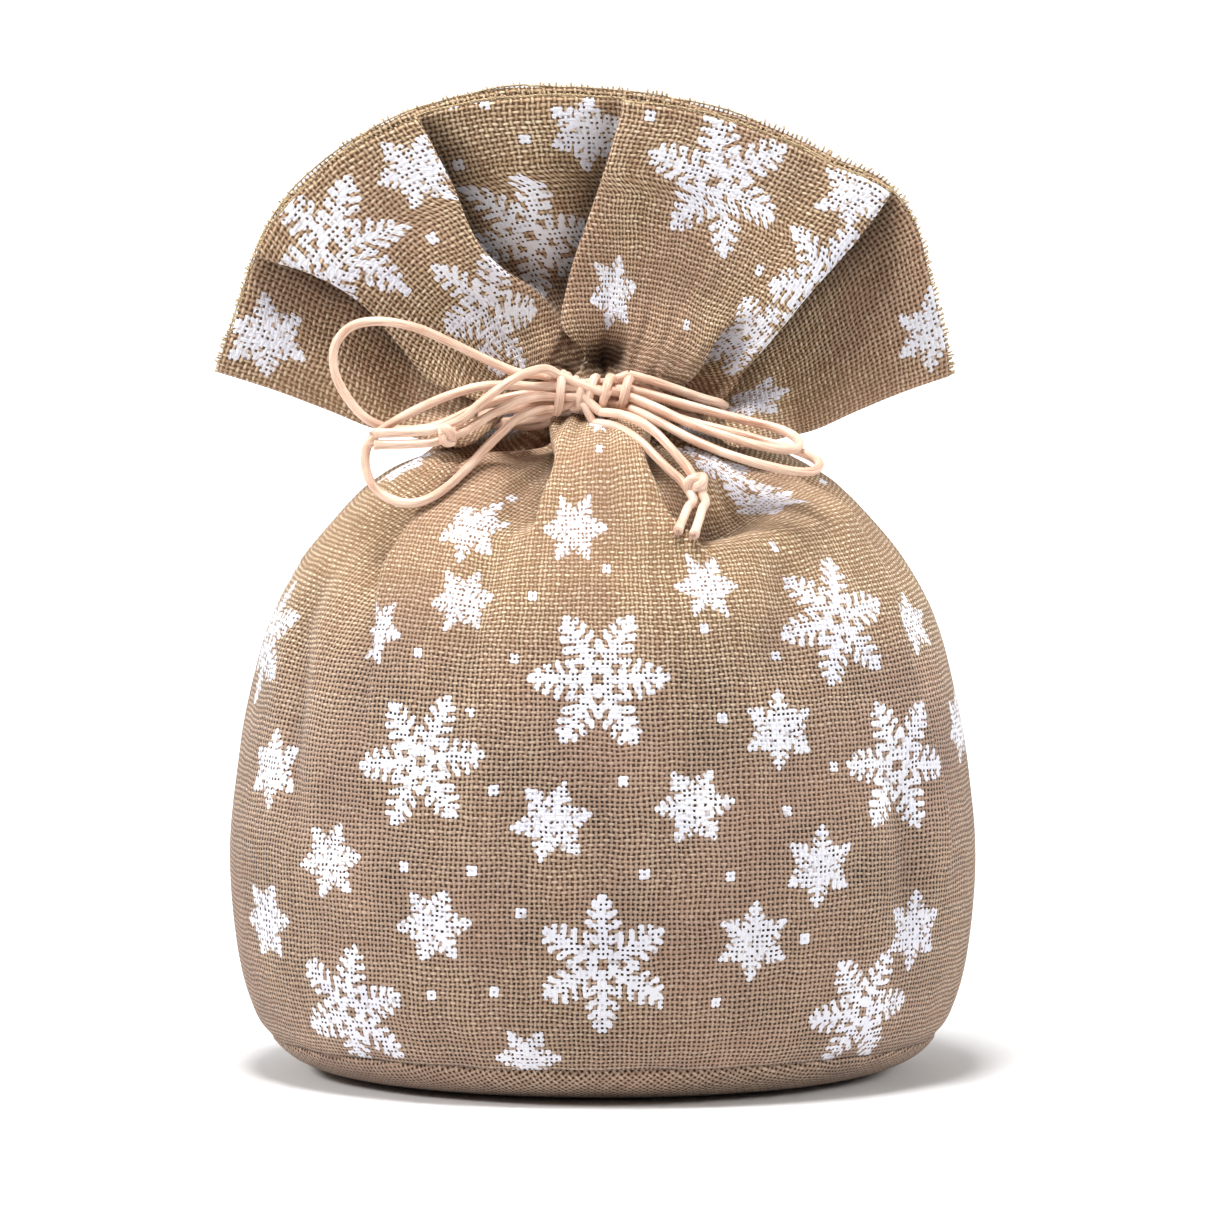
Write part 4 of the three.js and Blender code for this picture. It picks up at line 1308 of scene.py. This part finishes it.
BASE_PROFILE = [
    (0.002, 0.0001), (0.03, 0.0001), (0.054, 0.0001), (0.0625, 0.0005), (0.0695, 0.0018),
    (0.0752, 0.0042), (0.0785, 0.0068), (0.0797, 0.0086), (0.0786, 0.0098),
]
BASE_COLUMNS = 380
BASE_UV_SHIFT = 3  # sets the base's weave apart from the panels'


def add_base():
    """The round base: flat on the floor, bulging out under the seam, cut on the bias."""
    reach, height, at = (values[:, None] for values in profile_rows(BASE_PROFILE, 600))
    turn = np.linspace(0, 2 * math.pi, BASE_COLUMNS + 1)[None]
    waves = np.sin(3 * turn + 1) + 0.8 * np.sin(7 * turn + 2) + 0.6 * np.sin(13 * turn)
    swell = np.exp(-(((reach - 0.075) / 0.005) ** 2)) * 0.28 * MM * waves
    pucker = smooth(0.0072, 0.0095, height) * 0.3 * MM * np.sin(37 * turn)
    wide = reach + swell - pucker
    flatness = depth_share(0.0805)
    grid = np.stack([wide * np.cos(turn), wide * flatness * np.sin(turn),
                     height + 0 * turn], axis=2)
    normals = unit(np.cross(np.gradient(grid, axis=0), np.gradient(grid, axis=1))) * -1
    normals[:, :, 2] = np.where(grid[:, :, 2] < 0.0003, -1, normals[:, :, 2])
    points, faces, material = double_layer(grid, unit(normals), flip=True)
    flat = at[:, None] * np.stack([np.cos(turn), np.sin(turn) * flatness], axis=2)
    uv = np.concatenate([flat.reshape(-1, 2)] * 2) / CLOTH_UV + BASE_UV_SHIFT
    piece = add_piece("base_cloth", points, faces, [BIAS, BIAS], uv, material)
    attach(piece, "sack")
    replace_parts(piece, "base_panel")


add_base()
RUFF_START, RUFF_END = 0.172, 0.192
add_sheet("front_cloth", front_grid, front_shade, -1, front_print(front_grid),
          ["front_panel", "front_ruff", "front_casing_strip"], "front_ruff",
          (0, -0.004, RUFF_START), (0, -0.016, RUFF_END))
add_sheet("back_cloth", back_grid, back_shade, 1, scattered_print(len(back_grid)),
          ["back_panel", "back_ruff", "back_casing_strip"], "back_ruff",
          (0, 0.004, RUFF_START), (0, 0.016, RUFF_END))

for name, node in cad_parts.items():
    if name.endswith("_thread"):
        node.data.materials.clear()
        node.data.materials.append(THREAD)

# ------------------------------------------------------------------ stage and light


def floor_material():
    """Pale matte floor that glows, by its emission, plain white well behind the sack."""
    material, n, shader = new_material("floor_white")
    place = n.place()
    grain = n.noise(place, 40.0, 3.0)
    n.put(n.colours(grain, (0.84, 0.84, 0.84, 1), (0.87, 0.87, 0.87, 1)), shader.inputs["Base Color"])
    shader.inputs["Roughness"].default_value = 0.8
    shader.inputs["Specular IOR Level"].default_value = 0.1
    shader.inputs["Emission Color"].default_value = (1, 1, 1, 1)
    # the floor glows, from none near the sack to plain white well behind it
    n.put(n.between(n.split(place)[1], 0.1, 1.1) * 0.8, shader.inputs["Emission Strength"])
    return material


def add_floor():
    """A wide pale floor."""
    reach = 9.0
    points = [(-reach, -reach, 0), (reach, -reach, 0), (reach, reach, 0), (-reach, reach, 0)]
    floor = add_piece("floor", points, [(0, 1, 2, 3)], [floor_material()])


def add_light(name, place, size, power, target=(0, 0, 0.1)):
    data = bpy.data.lights.new(name, "AREA")
    data.shape = "DISK"
    data.size = size
    data.energy = power
    light = bpy.data.objects.new(name, data)
    bpy.context.scene.collection.objects.link(light)
    light.location = place
    aim = Vector(target) - Vector(place)
    light.rotation_mode = "QUATERNION"
    light.rotation_quaternion = aim.to_track_quat("-Z", "Y")


def light_the_studio():
    world = bpy.data.worlds.new("studio")
    bpy.context.scene.world = world
    world.use_nodes = True
    n = Nodes(world.node_tree)
    background = world.node_tree.nodes["Background"]
    direction = n.value(n.add("ShaderNodeTexCoord"), "Generated")
    behind = n.between(n.split(direction)[1], -0.5, 0.7)
    n.put(n.colours(behind, (0.08, 0.08, 0.08, 1), (0.6, 0.6, 0.6, 1)), background.inputs["Color"])
    background.inputs["Strength"].default_value = 1.0
    add_light("left_box", (-1.3, -0.4, 0.95), 0.4, 17)
    add_light("right_box", (1.35, -0.25, 0.75), 0.5, 11)
    add_light("top_box", (-0.1, -0.3, 1.5), 0.5, 27)
    bpy.context.scene.view_settings.view_transform = "Standard"


add_floor()
light_the_studio()
